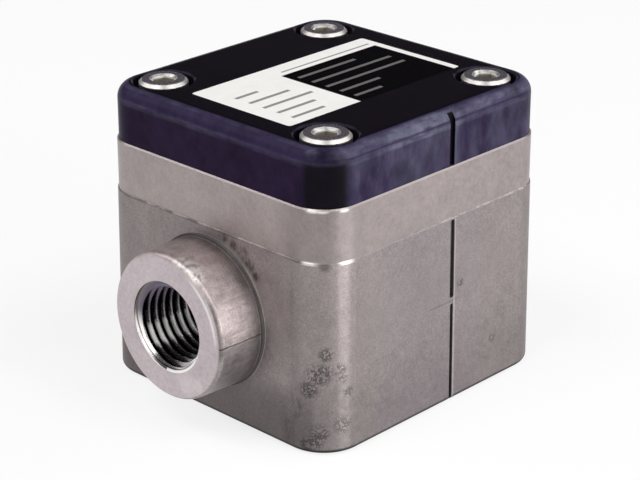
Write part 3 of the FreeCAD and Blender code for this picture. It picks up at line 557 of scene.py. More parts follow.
    def corner_highlight_and_shade(self):
        """Painted highlight down the front corner, and painted shade where the milled band turns it; returns
        the highlight.
        """
        inlet_way = CORNER_RADIUS - WALL_X - self.x
        front_way = CORNER_RADIUS - WALL_Y - self.y
        across = front_way * math.cos(HIGHLIGHT_ANGLE) - inlet_way * math.sin(HIGHLIGHT_ANGLE)
        corner_sheen = across.within(*HIGHLIGHT_WIDTH) * self.y.fall(*HIGHLIGHT_Y) * (1 - self.milled)
        turn, streak = (
            ((inlet_way * math.cos(angle) + front_way * math.sin(angle)) / CORNER_RADIUS).rise(start, full)
            for angle, start, full in (SHADED_TURN, SHADED_STREAK))
        # Painted highlight down the front corner.
        self.tone(1 + corner_sheen * MARKS["corner_rub"])
        # Painted shade where the milled band turns the front corner.
        self.tone(1 - turn * self.milled * MARKS["dull_turn"])
        self.tone(1 - streak * self.milled * MARKS["dull_streak"])
        return corner_sheen

    def edge_shade_and_highlights(self):
        """Painted shade and highlights on the bosses' rounded edges, pale rubs on a face, painted highlights
        on the rim.
        """
        # Painted shade on a stretch of the bosses' rounded side.
        shaded_edge_band = self.on_side.rise(0.0, 0.3) * self.z.within(PORT_Z - 0.5, PORT_Z + 5.0, 2.0) * self.boss_side
        self.tone(1 - shaded_edge_band * MARKS["dull_edge"])
        # Painted highlight round the edge of a boss's face, with pale rubs on the inlet face.
        bright = self.radius.within(BOSS_RADIUS - 0.90, BOSS_RADIUS - 0.65, 0.15) * self.turned
        bright = bright * self.y.fall(*FACE_EDGE_Y) * self.z.rise(PORT_Z - 1.0, PORT_Z + 3.0)
        bright = bright.higher_of(self.spots(FACE_RUBS) * self.turned * MARKS["face_rubs"])
        self.lay(bright * MARKS["face_edge"], FACE_HIGHLIGHT_AND_RUB_STEEL)
        # Painted highlights on the inlet boss's rounded edge and on the rim at the front corner.
        wear_and_sheen = self.spots(BOSS_EDGE_HIGHLIGHTS) * self.on_face.rise(0.0, 0.6) * self.skin.rise(0.34, 0.56)
        wear_and_sheen = wear_and_sheen.higher_of(self.spots(RIM_HIGHLIGHTS) * self.z.rise(self.rim - 0.7, self.rim - 0.2))
        self.lay(wear_and_sheen * MARKS["rubbed_edge"], HIGHLIGHT_STEEL)

    def front_groove(self):
        """Groove down the front painted dark as shade, with a painted highlight on its outlet lip; returns
        the groove.
        """
        front_y = -WALL_Y - (self.ledge - self.z).higher_of(0.0) * (DRAFT / self.ledge)
        depth = self.y - front_y
        off_groove = self.x - GROOVE_X
        groove = abs(off_groove).fall(GROOVE_HALF + 0.02, GROOVE_HALF + 0.06) * depth.within(0.12, 0.7, 0.1)
        groove = groove * self.z.fall(self.ledge - 0.25, self.ledge - 0.15)
        self.lay(groove * MARKS["groove"], GROOVE_SHADE)
        # Painted highlight on the groove's outlet lip.
        lip = off_groove.within(GROOVE_HALF, GROOVE_HALF + 0.22, 0.06) * depth.fall(0.10, 0.16)
        lip = lip * self.z.fall(self.ledge - 0.4, self.ledge - 0.2)
        self.lay(lip * MARKS["groove_lip"], LIP_HIGHLIGHT_STEEL)
        return groove

    def roughness(self, stain, corner_sheen):
        """Rough skin and stains, smoother where it is milled or turned and along the corner's painted
        highlight.
        """
        rough = 0.52 + (self.skin - 0.5) * 0.22 - self.milled * 0.10 - self.turned * 0.24
        rough = rough - self.boss * 0.06 - corner_sheen * 0.10 + stain * 0.25
        return rough + self.boss_side * 0.05 + self.on_side * self.boss * 0.14

    def relief(self, stain, seam):
        """Height of the skin: cast grain, milling and turning marks, pits, and the bosses' rounded edge."""
        drag = self.noise(0.9, 4.0, 0.6, (0.25, 0.25, 5.0))
        dressed = self.noise(0.30, 2.0, 0.5)
        rings = (self.radius * (TURN / TURNING_STEP)).sine() * 0.5 + 0.5
        rounded = self.on_face * self.on_face * ROUND_ON_FACE + self.on_side * self.on_side * ROUND_ON_SIDE
        height = (self.skin * 0.55 + self.grit * 0.45) * (1 - self.milled * 0.72) * (1 - self.turned * 0.85)
        height = height + drag * self.milled * 0.16 + rings * self.turned * 0.06
        height = height + dressed * self.boss_side * 4.0 - stain * 0.5 - seam * 0.4
        return height - rounded * self.boss * (0.5 / SKIN_RELIEF)


def cast_steel(sizes, colours):
    """Cast stainless steel, with dirt, stains, rubs, painted shade and painted highlights in the order they
    are laid on it.
    """
    f = CastSteel(sizes)
    f.colour_skin(colours)
    f.broad_tones()
    stain = f.stains()
    f.smears()
    seam = f.seam()
    f.dirt_and_shade_at_roots()
    f.ledge_highlights_and_wear()
    corner_sheen = f.corner_highlight_and_shade()
    f.edge_shade_and_highlights()
    f.lay(f.z.fall(*DARK_FOOT_Z) * MARKS["foot_edge"], FOOT_SHADE)
    groove = f.front_groove()
    f.lay(f.z.rise(f.rim - 0.26, f.rim - 0.16) * MARKS["rim"], RIM_STEEL)
    return f.done(Base_Color=f.colour, Metallic=1.0 - stain * 0.5 - groove * 0.5,
                  Roughness=f.roughness(stain, corner_sheen), Normal=f.bump(f.relief(stain, seam), SKIN_RELIEF))


# The thread's zones by height over the port's axis, in millimetres, and its colours, with painted shade and
# highlights.
SHADED_UPPER_THREAD = (-2.0, 1.0)
GLINT_HEIGHT = (-4.0, -2.3, 0.9)
LOWER_FLANK = (0.45, 0.42, 0.44)
SHADED_UPPER_FLANK = (0.125, 0.105, 0.140)
GLINTING_FLANK = (0.99, 0.98, 0.97)
# Painted shade in the thread's roots.
THREAD_ROOT_SHADE = (0.006, 0.005, 0.006)
LOWER_LEAD = (0.88, 0.85, 0.84)
SHADED_UPPER_LEAD = (0.17, 0.155, 0.17)
LEAD_RING = (0.10, 0.075, 0.055)


def thread_steel(sizes):
    """Cut pipe thread: painted highlights low on the flanks, painted shade above and in the roots, a
    countersunk lead-in.
    """
    f = Finish("thread_steel")
    height = f.z - PORT_Z
    depth_in = PORT_MOUTH * MM - abs(f.x)
    lead_in = sizes.lead_in * MM
    # Painted shade in the thread's roots.
    shaded_roots = (f.from_axis(f.y, height) + depth_in * sizes.thread_taper).rise(BORE - 0.60, BORE - 0.28)
    lead = depth_in.fall(lead_in * 0.7, lead_in * 1.3)
    ring = depth_in.within(lead_in * 0.42, lead_in * 0.52, 0.05)
    # Painted shade on the upper part of the thread and of its lead-in.
    upper = height.rise(*SHADED_UPPER_THREAD)
    # Painted highlight: a bright, less metallic band low on the flanks.
    glint = height.within(*GLINT_HEIGHT) * (1 - shaded_roots)
    chatter = f.noise(3.0, 4.0, 0.6)
    colour = f.mix(upper, LOWER_FLANK, SHADED_UPPER_FLANK)
    colour = f.mix(glint, colour, GLINTING_FLANK)
    colour = f.mix(shaded_roots, colour, THREAD_ROOT_SHADE)
    colour = f.mix(lead, colour, f.mix(upper, LOWER_LEAD, SHADED_UPPER_LEAD))
    colour = f.mix(ring * 0.8, colour, LEAD_RING)
    colour = f.shade(colour, 0.85 + chatter * 0.30)
    return f.done(Base_Color=colour, Metallic=1 - glint * (1 - lead) * 0.9,
                  Roughness=0.13 + chatter * 0.12, Normal=f.bump(chatter, 0.010))


# The lid's rounding, corners, counterbores, dusty stretch and painted corner highlights in millimetres, and
# colours of dust with painted sheen and of painted shade.
LID_ROUNDING = 2.2
LID_CORNER = 5.4
COUNTERBORE = 4.25
DUSTY_RUN = 11.0
# Painted highlights at the lid's corners.
LID_CORNER_HIGHLIGHTS = (((-21.5, -18.3, 43.0), 1.3), ((-18.4, -20.9, 43.0), 1.3), ((20.8, -19.3, 43.0), 1.6))
# Dust, which also serves as painted highlights along the rounding.
LID_DUST_AND_SHEEN = (0.085, 0.085, 0.125)
# Painted shade: a darker copy of the side colour for the walls off the front.
SHADED_LID_SIDE = (0.0157, 0.0076, 0.027)


class LidPlastic(Finish):
    """Satin moulded plastic: the zones of the lid, and the dust and painted highlights on it."""

    def __init__(self):
        super().__init__("lid_plastic")
        top = LID_HIGH.z
        rounding = top - LID_ROUNDING
        off_screw = self.from_axis(abs(self.x) - SCREW_AXIS.x, abs(self.y) - SCREW_AXIS.y)
        beside_screw = off_screw.rise(COUNTERBORE - 0.1, COUNTERBORE + 0.4)
        corner_start = LID_HIGH.x + LID_HIGH.y - LID_CORNER
        self.side = self.z.fall(top - 0.14, top - 0.02) * beside_screw
        self.wall = self.z.fall(rounding - 0.2, rounding + 0.5)
        self.front = self.y.fall(LID_LOW.y + 0.6, LID_LOW.y + 2.4)
        # Painted shade near the front corner, where the sides fade less.
        self.shaded_corner = (0 - self.x - self.y).rise(corner_start + 0.1, corner_start + 1.6)
        # Bands of the rounding where painted highlights lie.
        self.upper_line = self.z.within(top - 0.35, top - 0.12, 0.10)
        self.shoulder = self.z.within(top - 1.2, top - 0.40, 0.45)
        self.lower_line = self.z.within(rounding - 0.1, rounding + 0.3, 0.40)

    def dust_and_sheen(self):
        """Chalky dust down the front, with painted highlights along the rounding and at the corners."""
        wipes = self.noise(0.35, 4.0, 0.6, (1.0, 1.0, 0.4))
        wear_and_sheen = self.noise(0.8, 5.0, 0.65, (0.35, 0.35, 1.6))
        patchy = 0.25 + wear_and_sheen.rise(0.28, 0.68) * 1.25
        before_groove = self.x.within(GROOVE_X - DUSTY_RUN, GROOVE_X, 3.0)
        # Painted highlights along the rounding at the front, mixed with dust.
        rim = (self.shoulder * 1.1 + self.lower_line * 0.60) * patchy * (0.45 + before_groove * 0.55)
        below_rim = self.wall * (before_groove * 0.19 + wipes.rise(0.36, 0.64) * 0.29)
        # Painted highlights in lines along the rounding all round.
        all_round = (self.upper_line * 0.16 + self.lower_line * 0.20) * patchy
        # Painted highlights at the lid's corners.
        at_corners = self.spots(LID_CORNER_HIGHLIGHTS) * (0.15 + wear_and_sheen.rise(0.35, 0.65) * 0.55)
        return (self.front * (rim + below_rim)).higher_of(all_round).higher_of(at_corners)


def lid_plastic(colours):
    """Satin moulded plastic: black on top, with faded, dusty sides, painted highlights on the rounding and
    painted shade.
    """
    f = LidPlastic()
    grain = f.noise(5.0, 3.0, 0.6)
    cloud = f.noise(0.16, 4.0, 0.6)
    mottle = f.noise(0.34, 5.0, 0.65, (1.0, 1.0, 0.8))
    off_groove = f.x - GROOVE_X
    depth = f.y - LID_LOW.y
    groove = abs(off_groove).fall(LID_GROOVE_HALF, LID_GROOVE_HALF + 0.05) * depth.within(0.10, 0.7, 0.08)
    lip = off_groove.within(LID_GROOVE_HALF, LID_GROOVE_HALF + 0.3, 0.15) * depth.fall(0.05, 0.15) * f.wall

    dust_and_sheen = f.dust_and_sheen()
    # The sides fade, but painted shade keeps the groove and the front corner darker.
    faded_unless_shaded = f.side * (1 - groove) * (1 - f.shaded_corner * (0.45 + f.wall * 0.53))
    colour = f.mix(faded_unless_shaded, colours.lid, colours.lid_side)
    # Painted shade: the walls off the front take a darker copy of the side colour.
    colour = f.mix(f.wall * (1 - f.front) * faded_unless_shaded, colour, SHADED_LID_SIDE)
    colour = f.mix(dust_and_sheen * faded_unless_shaded, colour, LID_DUST_AND_SHEEN)
    # Painted light on the rounding off the front; the front wall is a little darker.
    tone = 0.72 + cloud * 0.40 - f.front * f.wall * 0.10 + (1 - f.wall) * (1 - f.front) * 0.25
    colour = f.shade(colour, tone * (1 + (mottle - 0.5) * f.side * 1.9))
    # Painted highlight on the groove's outlet lip.
    colour = f.mix(lip * 0.22, colour, LID_DUST_AND_SHEEN)
    roughness = 0.20 + (grain - 0.5) * 0.10 + dust_and_sheen * 0.25 + f.side * 0.12 + (cloud - 0.5) * 0.06
    return f.done(Base_Color=colour, Roughness=roughness, IOR=1.11, Normal=f.bump(grain, 0.006))


# The label's blank rules, in millimetres: their margins, and where each one ends along the label.
PRINT_SOFTNESS = 0.06
FIELD_MARGIN = 1.2
PANEL_MARGIN = 2.7
FIRST_RULE = 2.3
BAND_RULE = 1.15
BAND_RULE_END = 15.6
FIELD_RULE_ENDS = (9.0, 13.6, 13.6, 5.4, 2.9)
PANEL_RULE_ENDS = (-10.6, -7.2, -5.4, -7.6, -8.6)
RULE_INK = (0.035, 0.032, 0.034)


def label_film(sizes, colours):
    """Printed film: a pale band, a pale panel and a dark field with blank ruled lines."""
    f = Finish("label_film")
    soft = PRINT_SOFTNESS
    panel_end = LABEL_LOW.x + sizes.label_panel * MM
    band_start = LABEL_HIGH.y - sizes.label_band * MM
    edge_start = LABEL_HIGH.x - sizes.label_edge * MM
    panel = f.x.fall(panel_end - soft, panel_end + soft)
    band = f.y.rise(band_start - soft, band_start + soft)
    edge = f.x.rise(edge_start - soft, edge_start + soft)
    pale = panel.higher_of(band).higher_of(edge)

    half = sizes.rule_width * MM / 2
    row_step = sizes.rule_step * MM
    field_start = panel_end + FIELD_MARGIN
    panel_start = LABEL_LOW.x + PANEL_MARGIN
    band_row = band_start + BAND_RULE
    dark_rules = f.y.within(band_row - half / 2, band_row + half / 2, soft)
    dark_rules = dark_rules * f.x.within(field_start, BAND_RULE_END, soft)
    light_rules = None
    for row, (field_end, panel_row_end) in enumerate(zip(FIELD_RULE_ENDS, PANEL_RULE_ENDS)):
        middle = band_start - FIRST_RULE - row * row_step
        line = f.y.within(middle - half, middle + half, soft)
        light = line * f.x.within(field_start, field_end, soft)
        light_rules = light if light_rules is None else light_rules.higher_of(light)
        dark_rules = dark_rules.higher_of(line * f.x.within(panel_start, panel_row_end, soft))

    wear = f.noise(0.5, 5.0, 0.6)
    peel = f.noise(2.4, 3.0, 0.5)
    field = f.mix(light_rules * 0.16, colours.label_dark, colours.label_pale)
    paper = f.mix(dark_rules * 0.72, colours.label_pale, RULE_INK)
    colour = f.shade(f.mix(pale, field, paper), 0.97 + (wear - 0.5) * 0.12)
    return f.done(Base_Color=colour, Roughness=0.17 + (wear - 0.5) * 0.08, IOR=1.08,
                  Normal=f.bump(peel, 0.003))


# Zones of a screw head by distance from its axis, in millimetres, and its colours.
SOCKET_WALL = (1.85, 2.0)
SOCKET_LEAD = (1.92, 1.98)
HEAD_FLAT = (2.0, 3.04, 0.08)
HEAD_EDGE = (3.00, 3.12)
HEAD_RING_STEP = 0.22
# The flat is painted dark as a dark reflection; the socket's mouth is worn and painted bright; the socket
# holds grime and painted shade.
PAINTED_DARK_FLAT = (0.055, 0.047, 0.068)
KEY_WORN_AND_LIT_STEEL = (0.93, 0.91, 0.88)
SOCKET_GRIME_AND_SHADE = (0.29, 0.245, 0.205)


def screw_steel(colours):
    """Stainless screws: satin edge, flat painted dark, worn socket mouth with painted highlights, grime and
    painted shade in it.
    """
    f = Finish("screw_steel")
    top = SCREW_HIGH.z
    radius = f.from_axis(abs(f.x) - SCREW_AXIS.x, abs(f.y) - SCREW_AXIS.y)
    grain = f.noise(3.5, 4.0, 0.6)
    rings = (radius * (TURN / HEAD_RING_STEP)).sine() * 0.5 + 0.5
    socket = radius.fall(*SOCKET_WALL) * f.z.fall(top - 0.66, top - 0.44)
    lead = radius.fall(*SOCKET_LEAD) * (1 - socket)
    worn_and_lit_wall = lead * f.z.fall(top - 0.30, top - 0.20)
    flat = radius.within(*HEAD_FLAT) * f.z.rise(top - 0.26, top - 0.18)
    edge = radius.rise(*HEAD_EDGE)
    colour = f.shade(colours.screw, 0.84 + grain * 0.22 + rings * 0.06)
    # Painted dark reflection on the head's flat, which is also less metallic.
    colour = f.mix(flat * 0.9, colour, PAINTED_DARK_FLAT)
    # Key wear and painted highlights at the socket's mouth.
    colour = f.mix(lead * 0.7 + worn_and_lit_wall * 0.3, colour, KEY_WORN_AND_LIT_STEEL)
    # Brown grime and painted shade in the socket.
    colour = f.mix(socket, colour, f.shade(SOCKET_GRIME_AND_SHADE, 0.7 + grain * 0.6))
    return f.done(Base_Color=colour, Metallic=1.0 - socket * 0.75 - flat * 0.65 - worn_and_lit_wall * 0.7,
                  Roughness=0.22 + grain * 0.10 + socket * 0.2 + edge * 0.16 + lead * 0.10,
                  Normal=f.bump(grain, 0.0008))


# Colours of the small parts, and how the noise of their flow lines or marks is stretched.
COVER_GREY = (0.045, 0.043, 0.050)
SEAL_BLACK = (0.020, 0.019, 0.019)
GROMMET_BLACK = (0.024, 0.023, 0.023)
RUBBER_BLOOM = (0.075, 0.072, 0.070)
CARBON_GREY = (0.045, 0.045, 0.047)
SHAFT_GREY = (0.60, 0.60, 0.60)
WASHER_IVORY = (0.74, 0.72, 0.67)
MAGNET_SILVER = (0.55, 0.54, 0.52)
CAP_BLACK = (0.05, 0.045, 0.045)
CHIP_BLACK = (0.030, 0.030, 0.032)
EVEN = (1.0, 1.0, 1.0)
ACROSS_LID = (1.0, 0.2, 1.0)
UPRIGHT_FLOW = (1.0, 1.0, 0.3)
FINE_UPRIGHT = (6.0, 6.0, 0.5)
ROUND_SHAFT = (0.6, 0.6, 9.0)
# The board's tracks and the weave under its mask, with their steps in millimetres.
TRACK_GREEN = (0.07, 0.30, 0.10)
TRACK_STEP = 3.1
WEAVE_STEP = 0.55


def soft_rubber(name, colour, roughness):
    """Moulded rubber with a fine bloom."""
    f = Finish(name)
    bloom = f.noise(1.2, 5.0, 0.6)
    grain = f.noise(7.0, 2.0, 0.5)
    tint = f.mix(bloom.rise(0.45, 0.75) * 0.35, colour, RUBBER_BLOOM)
    return f.done(Base_Color=tint, Roughness=roughness + (bloom - 0.5) * 0.25, IOR=1.48,
                  Normal=f.bump(grain, 0.012))


def dull_plastic(name, colour, flow, roughness=0.5):
    """Filled or plain moulding with faint flow lines along one direction."""
    f = Finish(name)
    swirl = f.noise(0.5, 4.0, 0.6, flow)
    fleck = f.noise(6.0, 3.0, 0.65)
    tint = f.shade(colour, 0.74 + swirl * 0.34 + fleck * 0.18)
    return f.done(Base_Color=tint, Roughness=roughness + (fleck - 0.5) * 0.2, IOR=1.50,
                  Normal=f.bump(fleck * 0.6 + swirl * 0.4, 0.010))


def ground_metal(name, colour, stretch, roughness):
    """Ground or plated metal with fine marks along one direction."""
    f = Finish(name)
    marks = f.noise(1.5, 4.0, 0.6, stretch)
    haze = f.noise(0.6, 4.0, 0.6)
    tint = f.shade(colour, 0.80 + marks * 0.22 + haze * 0.16)
    return f.done(Base_Color=tint, Metallic=1.0, Roughness=roughness + (marks - 0.5) * 0.16,
                  Normal=f.bump(marks, 0.006))


def board_mask(colours):
    """Green solder mask over copper tracks."""
    f = Finish("board_green")
    weave = (f.x * (TURN / WEAVE_STEP)).sine() * (f.y * (TURN / WEAVE_STEP)).sine() * 0.5 + 0.5
    across = (f.x * (TURN / TRACK_STEP)).sine().rise(0.80, 0.90)
    tracks = across * f.noise(0.25, 2.0).rise(0.42, 0.52)
    wash = f.noise(0.7, 4.0, 0.6)
    tint = f.mix(tracks * 0.6, colours.board, TRACK_GREEN)
    tint = f.shade(tint, 0.86 + wash * 0.24)
    return f.done(Base_Color=tint, Roughness=0.30 + (wash - 0.5) * 0.14, IOR=1.5,
                  Normal=f.bump(tracks * 0.8 + weave * 0.2, 0.012))


def dress(name, material):
    """Gives a CAD node its finish."""
    node = NODES[name]
    node.data.materials.clear()
    node.data.materials.append(material)


def dress_all(names, material):
    """Gives several CAD nodes one finish."""
    for name in names:
        dress(name, material)


# Gaps in metres that keep the thread's sleeve, its root and its inner end clear of the CAD bore.
SLEEVE_GAP = 0.00002
ROOT_GAP = 0.00004
END_GAP = 0.0002
# The thread's mesh: columns round the port, lengths in metres that count as nothing, and its sharp edges.
THREAD_COLUMNS = 96
SAME_LEVEL = 1e-6
SAME_POINT = 1e-7
SHARP_ANGLE = math.radians(30)


def thread_radius(sizes, depth, turn):
    """Radius of the cut thread at a depth from the mouth and a share of a turn round the port."""
    pitch = sizes.thread_pitch
    half_flat = sizes.thread_flat / 2
    phase = (depth / pitch - turn) % 1.0
    off_root = min(phase, 1.0 - phase) * pitch
    climb = (off_root - half_flat) / (pitch / 2 - 2 * half_flat)
    height = sizes.thread_depth * min(1.0, max(0.0, climb))
    root = PORT_RADIUS - ROOT_GAP - depth * sizes.thread_taper
    countersunk = PORT_RADIUS - ROOT_GAP - depth * (sizes.thread_depth / sizes.lead_in)
    return max(root - height, countersunk)


def close_thread(work, side, length):
    """Turns the open thread surface into a closed sleeve."""
    rims = []
    for depth in (0.0, length):
        level = side * (PORT_MOUTH - depth)
        rim = [edge for edge in work.edges
               if edge.is_boundary and all(abs(vert.co.x - level) < SAME_LEVEL for vert in edge.verts)]
        grown = bmesh.ops.extrude_edge_only(work, edges=rim)["geom"]
        for vert in (item for item in grown if isinstance(item, bmesh.types.BMVert)):
            spoke = Vector((0.0, vert.co.y, vert.co.z - PORT_HEIGHT)).normalized()
            spoke *= PORT_RADIUS - SLEEVE_GAP
            vert.co.y, vert.co.z = spoke.y, PORT_HEIGHT + spoke.z
        rims += [item for item in grown if isinstance(item, bmesh.types.BMEdge)]
    bmesh.ops.bridge_loops(work, edges=rims)
    bmesh.ops.recalc_face_normals(work, faces=work.faces)


def make_thread(name, sizes, side):
    """Closed sleeve with the port's inside thread; side is -1 for the inlet and 1 for the outlet."""
    pitch = sizes.thread_pitch
    flat = sizes.thread_flat / 2 / pitch
    stops = (-flat, flat, 0.25, 0.5 - flat, 0.5 + flat, 0.75)
    length = PORT_DEPTH - END_GAP
    laps = int(length / pitch) + 3

    work = bmesh.new()
    grid = []
    for column in range(THREAD_COLUMNS + 1):
        turn = column / THREAD_COLUMNS
        line = []
        for lap in range(-1, laps):
            for stop in stops:
                depth = min(max((lap + stop + turn) * pitch, 0.0), length)
                radius = thread_radius(sizes, depth, turn)
                line.append(work.verts.new((side * (PORT_MOUTH - depth), radius * math.cos(TURN * turn),
                                            PORT_HEIGHT + radius * math.sin(TURN * turn))))
        grid.append(line)
    for here, there in zip(grid, grid[1:]):
        for row in range(len(here) - 1):
            work.faces.new((here[row], here[row + 1], there[row + 1], there[row]))
    bmesh.ops.remove_doubles(work, verts=work.verts, dist=SAME_POINT)
    bmesh.ops.dissolve_degenerate(work, edges=work.edges, dist=SAME_POINT)
    close_thread(work, side, length)
    for face in work.faces:
        face.smooth = True
    mesh = bpy.data.meshes.new(name)
    work.to_mesh(mesh)
    work.free()
    mesh.set_sharp_from_angle(angle=SHARP_ANGLE)
    piece = bpy.data.objects.new(name, mesh)
    bpy.context.scene.collection.objects.link(piece)
    return piece


class FLOW_OT_casting(bpy.types.Operator):
    """Finishes the cast body"""

    bl_idname = "flow.casting"
    bl_label = "Cast Body"

    def execute(self, context):
        scene = context.scene
        dress("body", cast_steel(scene.flow_sizes, scene.flow_colours))
        return {"FINISHED"}


class FLOW_OT_threads(bpy.types.Operator):
    """Cuts the inside thread of both ports"""

    bl_idname = "flow.threads"
    bl_label = "Port Threads"

    def execute(self, context):
        sizes = context.scene.flow_sizes
        material = thread_steel(sizes)
        for name, side in (("inlet_thread", -1), ("outlet_thread", 1)):
            thread = make_thread(name, sizes, side)
            thread.data.materials.append(material)
            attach(thread, "housing")
        return {"FINISHED"}


class FLOW_OT_lid(bpy.types.Operator):
    """Finishes the lid, its pocket cover, its seal and its grommet"""

    bl_idname = "flow.lid"
    bl_label = "Lid"

    def execute(self, context):
        dress("sensor_lid", lid_plastic(context.scene.flow_colours))
        dress("pocket_cover", dull_plastic("cover_plastic", COVER_GREY, ACROSS_LID))
        dress("lid_seal", soft_rubber("seal_rubber", SEAL_BLACK, 0.48))
        dress("cable_grommet", soft_rubber("grommet_rubber", GROMMET_BLACK, 0.58))
        return {"FINISHED"}


class FLOW_OT_label(bpy.types.Operator):
    """Prints the blank two-tone label"""

    bl_idname = "flow.label"
    bl_label = "Label"

    def execute(self, context):
        scene = context.scene
        dress("label_plate", label_film(scene.flow_sizes, scene.flow_colours))
        return {"FINISHED"}


class FLOW_OT_screws(bpy.types.Operator):
    """Finishes the lid and board screws"""

    bl_idname = "flow.screws"
    bl_label = "Screws"

    def execute(self, context):
        screws = [name for name in NODES if name.startswith(("lid_screw", "board_screw"))]
        dress_all(screws, screw_steel(context.scene.flow_colours))
        return {"FINISHED"}


class FLOW_OT_rotors(bpy.types.Operator):
    """Finishes the oval gears with their bushes, shafts, washers and magnets"""

    bl_idname = "flow.rotors"
    bl_label = "Oval Gears"

    def execute(self, context):
        rotor = context.scene.flow_colours.rotor
        finishes = (
            (("rotor",), dull_plastic("rotor_plastic", rotor, UPRIGHT_FLOW), "rotor_plastic"),
            (("rotor_bush",), dull_plastic("bush_carbon", CARBON_GREY, FINE_UPRIGHT, 0.34), "bush_carbon"),
            (("rotor_shaft",), ground_metal("shaft_steel", SHAFT_GREY, ROUND_SHAFT, 0.20), "shaft_steel"),
            (("lower_washer", "upper_washer"),
             dull_plastic("washer_plastic", WASHER_IVORY, FINE_UPRIGHT, 0.40), "washer_plastic"),
            (("rotor_magnet",), ground_metal("magnet_metal", MAGNET_SILVER, EVEN, 0.24), "magnet_metal"),
            (("magnet_cap",), dull_plastic("cap_plastic", CAP_BLACK, FINE_UPRIGHT), "cover_plastic"),
        )
        for stems, material, slot in finishes:
            dress_all([stem + tail for stem in stems for tail in ("_a", "_b")], material)
        return {"FINISHED"}


class FLOW_OT_pick_up(bpy.types.Operator):
    """Finishes the pick-up board and its chips"""

    bl_idname = "flow.pick_up"
    bl_label = "Pick-up Board"

    def execute(self, context):
        dress("circuit_board", board_mask(context.scene.flow_colours))
        chip = dull_plastic("chip_black", CHIP_BLACK, EVEN, 0.55)
        dress_all(("hall_sensor_a", "hall_sensor_b", "board_chip_a", "board_chip_b"), chip)
        return {"FINISHED"}


# Soft lamps: name, place and size in metres, and the stage setting that holds their power.
LAMPS = (
    ("key_lamp", (0.16, -0.60, 0.16), (0.45, 0.30), "key_power"),
    ("inlet_lamp", (-0.65, -0.06, 0.18), (0.46, 0.46), "inlet_power"),
    ("strip_lamp", (0.02, -0.50, 0.09), (0.05, 0.17), "strip_power"),
    ("inlet_top_lamp", (-0.40, 0.05, 0.75), (0.34, 0.34), "top_power"),
    ("outlet_top_lamp", (0.09, -0.43, 0.75), (0.34, 0.34), "top_power"),
    ("inlet_rim_lamp", (-0.27, 0.45, 0.46), (0.36, 0.36), "rim_power"),
    ("outlet_rim_lamp", (0.46, -0.27, 0.44), (0.36, 0.36), "rim_power"),
)
# The surroundings grow dim between these heights of the view direction.
SKY_FADE = (0.07, 0.18)
# The camera: width of the image in pixels and of the sensor in millimetres, and nearest distance in metres.
IMAGE_WIDTH = 640
SENSOR_WIDTH_MM = 36.0
CLIP_START = 0.01


def pale_floor(stage):
    """Pale floor that keeps the shadow and looks white to the eye and in polished metal."""
    material = bpy.data.materials.new("studio_floor")
    material.use_nodes = True
    nodes = Nodes(material.node_tree)
    camera, glossy, clear = (nodes.add("ShaderNodeLightPath", output=ray)
                             for ray in ("Is Camera Ray", "Is Glossy Ray", "Is Transmission Ray"))
    share = camera.higher_of(glossy).higher_of(clear) * stage.floor_white
    matt = nodes.add("ShaderNodeBsdfDiffuse", {}, {"Color": stage.floor_colour})
    white = nodes.add("ShaderNodeEmission")
    blend = nodes.add("ShaderNodeMixShader", {}, {0: share, 1: matt, 2: white})
    nodes.add("ShaderNodeOutputMaterial", {}, {"Surface": blend})
    return material


def studio_world(stage):
    """Plain surroundings: white near the horizon and dim overhead."""
    world = bpy.data.worlds.new("studio_world")
    world.use_nodes = True
    nodes = Nodes(world.node_tree)
    direction = nodes.add("ShaderNodeTexCoord", output="Generated")
    height = nodes.add("ShaderNodeSeparateXYZ", {}, {"Vector": direction}, "Z")
    level = 1 - height.rise(*SKY_FADE) * stage.sky_dim
    sky = nodes.add("ShaderNodeBackground", {}, {"Color": (1.0, 1.0, 1.0), "Strength": level})
    nodes.add("ShaderNodeOutputWorld", {}, {"Surface": sky})
    return world


def add_floor(scene, stage):
    """A square floor under the body."""
    half = stage.floor_size / 2
    mesh = bpy.data.meshes.new("floor")
    mesh.from_pydata([(-half, -half, 0.0), (half, -half, 0.0), (half, half, 0.0), (-half, half, 0.0)],
                     [], [(0, 1, 2, 3)])
    mesh.materials.append(pale_floor(stage))
    floor = bpy.data.objects.new("floor", mesh)
    floor.location.z = BODY_LOW.z / MM - stage.floor_drop
    scene.collection.objects.link(floor)


def add_lamp(scene, name, place, size, power, target):
    """A soft rectangular lamp that faces a point."""
    lamp = bpy.data.lights.new(name, "AREA")
    lamp.shape = "RECTANGLE"
    lamp.size, lamp.size_y = size
    lamp.energy = power
    holder = bpy.data.objects.new(name, lamp)
    holder.location = place
    holder.rotation_euler = (Vector(target) - Vector(place)).to_track_quat("-Z", "Y").to_euler()
    scene.collection.objects.link(holder)


def add_camera(scene, stage):
    """The camera that sees the sensor as the photograph does."""
    camera = bpy.data.cameras.new("camera")
    camera.sensor_fit = "HORIZONTAL"
    camera.sensor_width = SENSOR_WIDTH_MM
    camera.lens = stage.focal_pixels / IMAGE_WIDTH * SENSOR_WIDTH_MM
    camera.clip_start = CLIP_START
    level = math.cos(stage.camera_tilt)
    look = Vector((math.sin(stage.camera_heading) * level, math.cos(stage.camera_heading) * level,
                   -math.sin(stage.camera_tilt)))
    holder = bpy.data.objects.new("camera", camera)
    holder.location = stage.camera_place
    holder.rotation_euler = look.to_track_quat("-Z", "Y").to_euler()
    scene.collection.objects.link(holder)
    scene.camera = holder


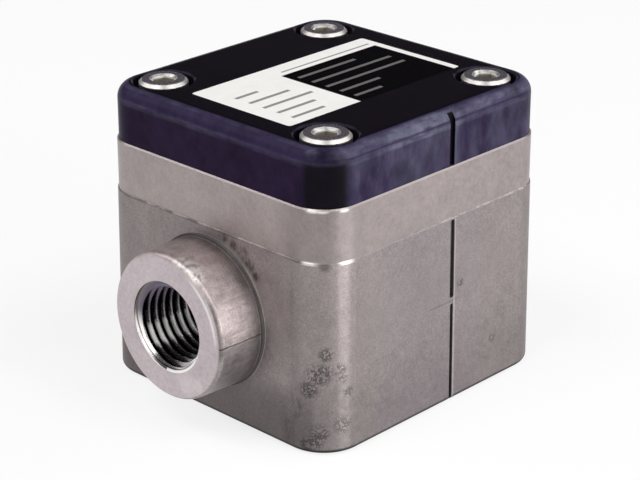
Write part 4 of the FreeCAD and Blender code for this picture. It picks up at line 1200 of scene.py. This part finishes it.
class FLOW_OT_stage(bpy.types.Operator):
    """Sets the floor, the lamps, the surroundings and the camera"""

    bl_idname = "flow.stage"
    bl_label = "Stage"

    def execute(self, context):
        scene, stage = context.scene, context.scene.flow_stage
        add_floor(scene, stage)
        middle = (0.0, 0.0, LID_LOW.z / MM / 2)
        for name, place, size, power in LAMPS:
            add_lamp(scene, name, place, size, getattr(stage, power), middle)
        scene.world = studio_world(stage)
        add_camera(scene, stage)
        scene.view_settings.view_transform = "Standard"
        return {"FINISHED"}


class FLOW_PT_panel(bpy.types.Panel):
    """Lists the steps that dress the sensor"""

    bl_idname = "FLOW_PT_panel"
    bl_label = "Flow Sensor"
    bl_space_type = "VIEW_3D"
    bl_region_type = "UI"
    bl_category = "Flow Sensor"

    def draw(self, context):
        for step in STEPS:
            self.layout.operator(step.bl_idname)
        for group in (context.scene.flow_sizes, context.scene.flow_colours, context.scene.flow_stage):
            box = self.layout.box()
            for name in group.__annotations__:
                box.prop(group, name)


STEPS = (FLOW_OT_casting, FLOW_OT_threads, FLOW_OT_lid, FLOW_OT_label, FLOW_OT_screws, FLOW_OT_rotors,
         FLOW_OT_pick_up, FLOW_OT_stage)
CLASSES = (SensorSizes, SensorColours, StageSettings) + STEPS + (FLOW_PT_panel,)


def register():
    for cls in CLASSES:
        bpy.utils.register_class(cls)
    bpy.types.Scene.flow_sizes = bpy.props.PointerProperty(type=SensorSizes)
    bpy.types.Scene.flow_colours = bpy.props.PointerProperty(type=SensorColours)
    bpy.types.Scene.flow_stage = bpy.props.PointerProperty(type=StageSettings)


def unregister():
    del bpy.types.Scene.flow_stage
    del bpy.types.Scene.flow_colours
    del bpy.types.Scene.flow_sizes
    for cls in reversed(CLASSES):
        bpy.utils.unregister_class(cls)


def main():
    register()
    bpy.ops.flow.casting()
    bpy.ops.flow.threads()
    bpy.ops.flow.lid()
    bpy.ops.flow.label()
    bpy.ops.flow.screws()
    bpy.ops.flow.rotors()
    bpy.ops.flow.pick_up()
    bpy.ops.flow.stage()


if __name__ == "__main__":
    main()
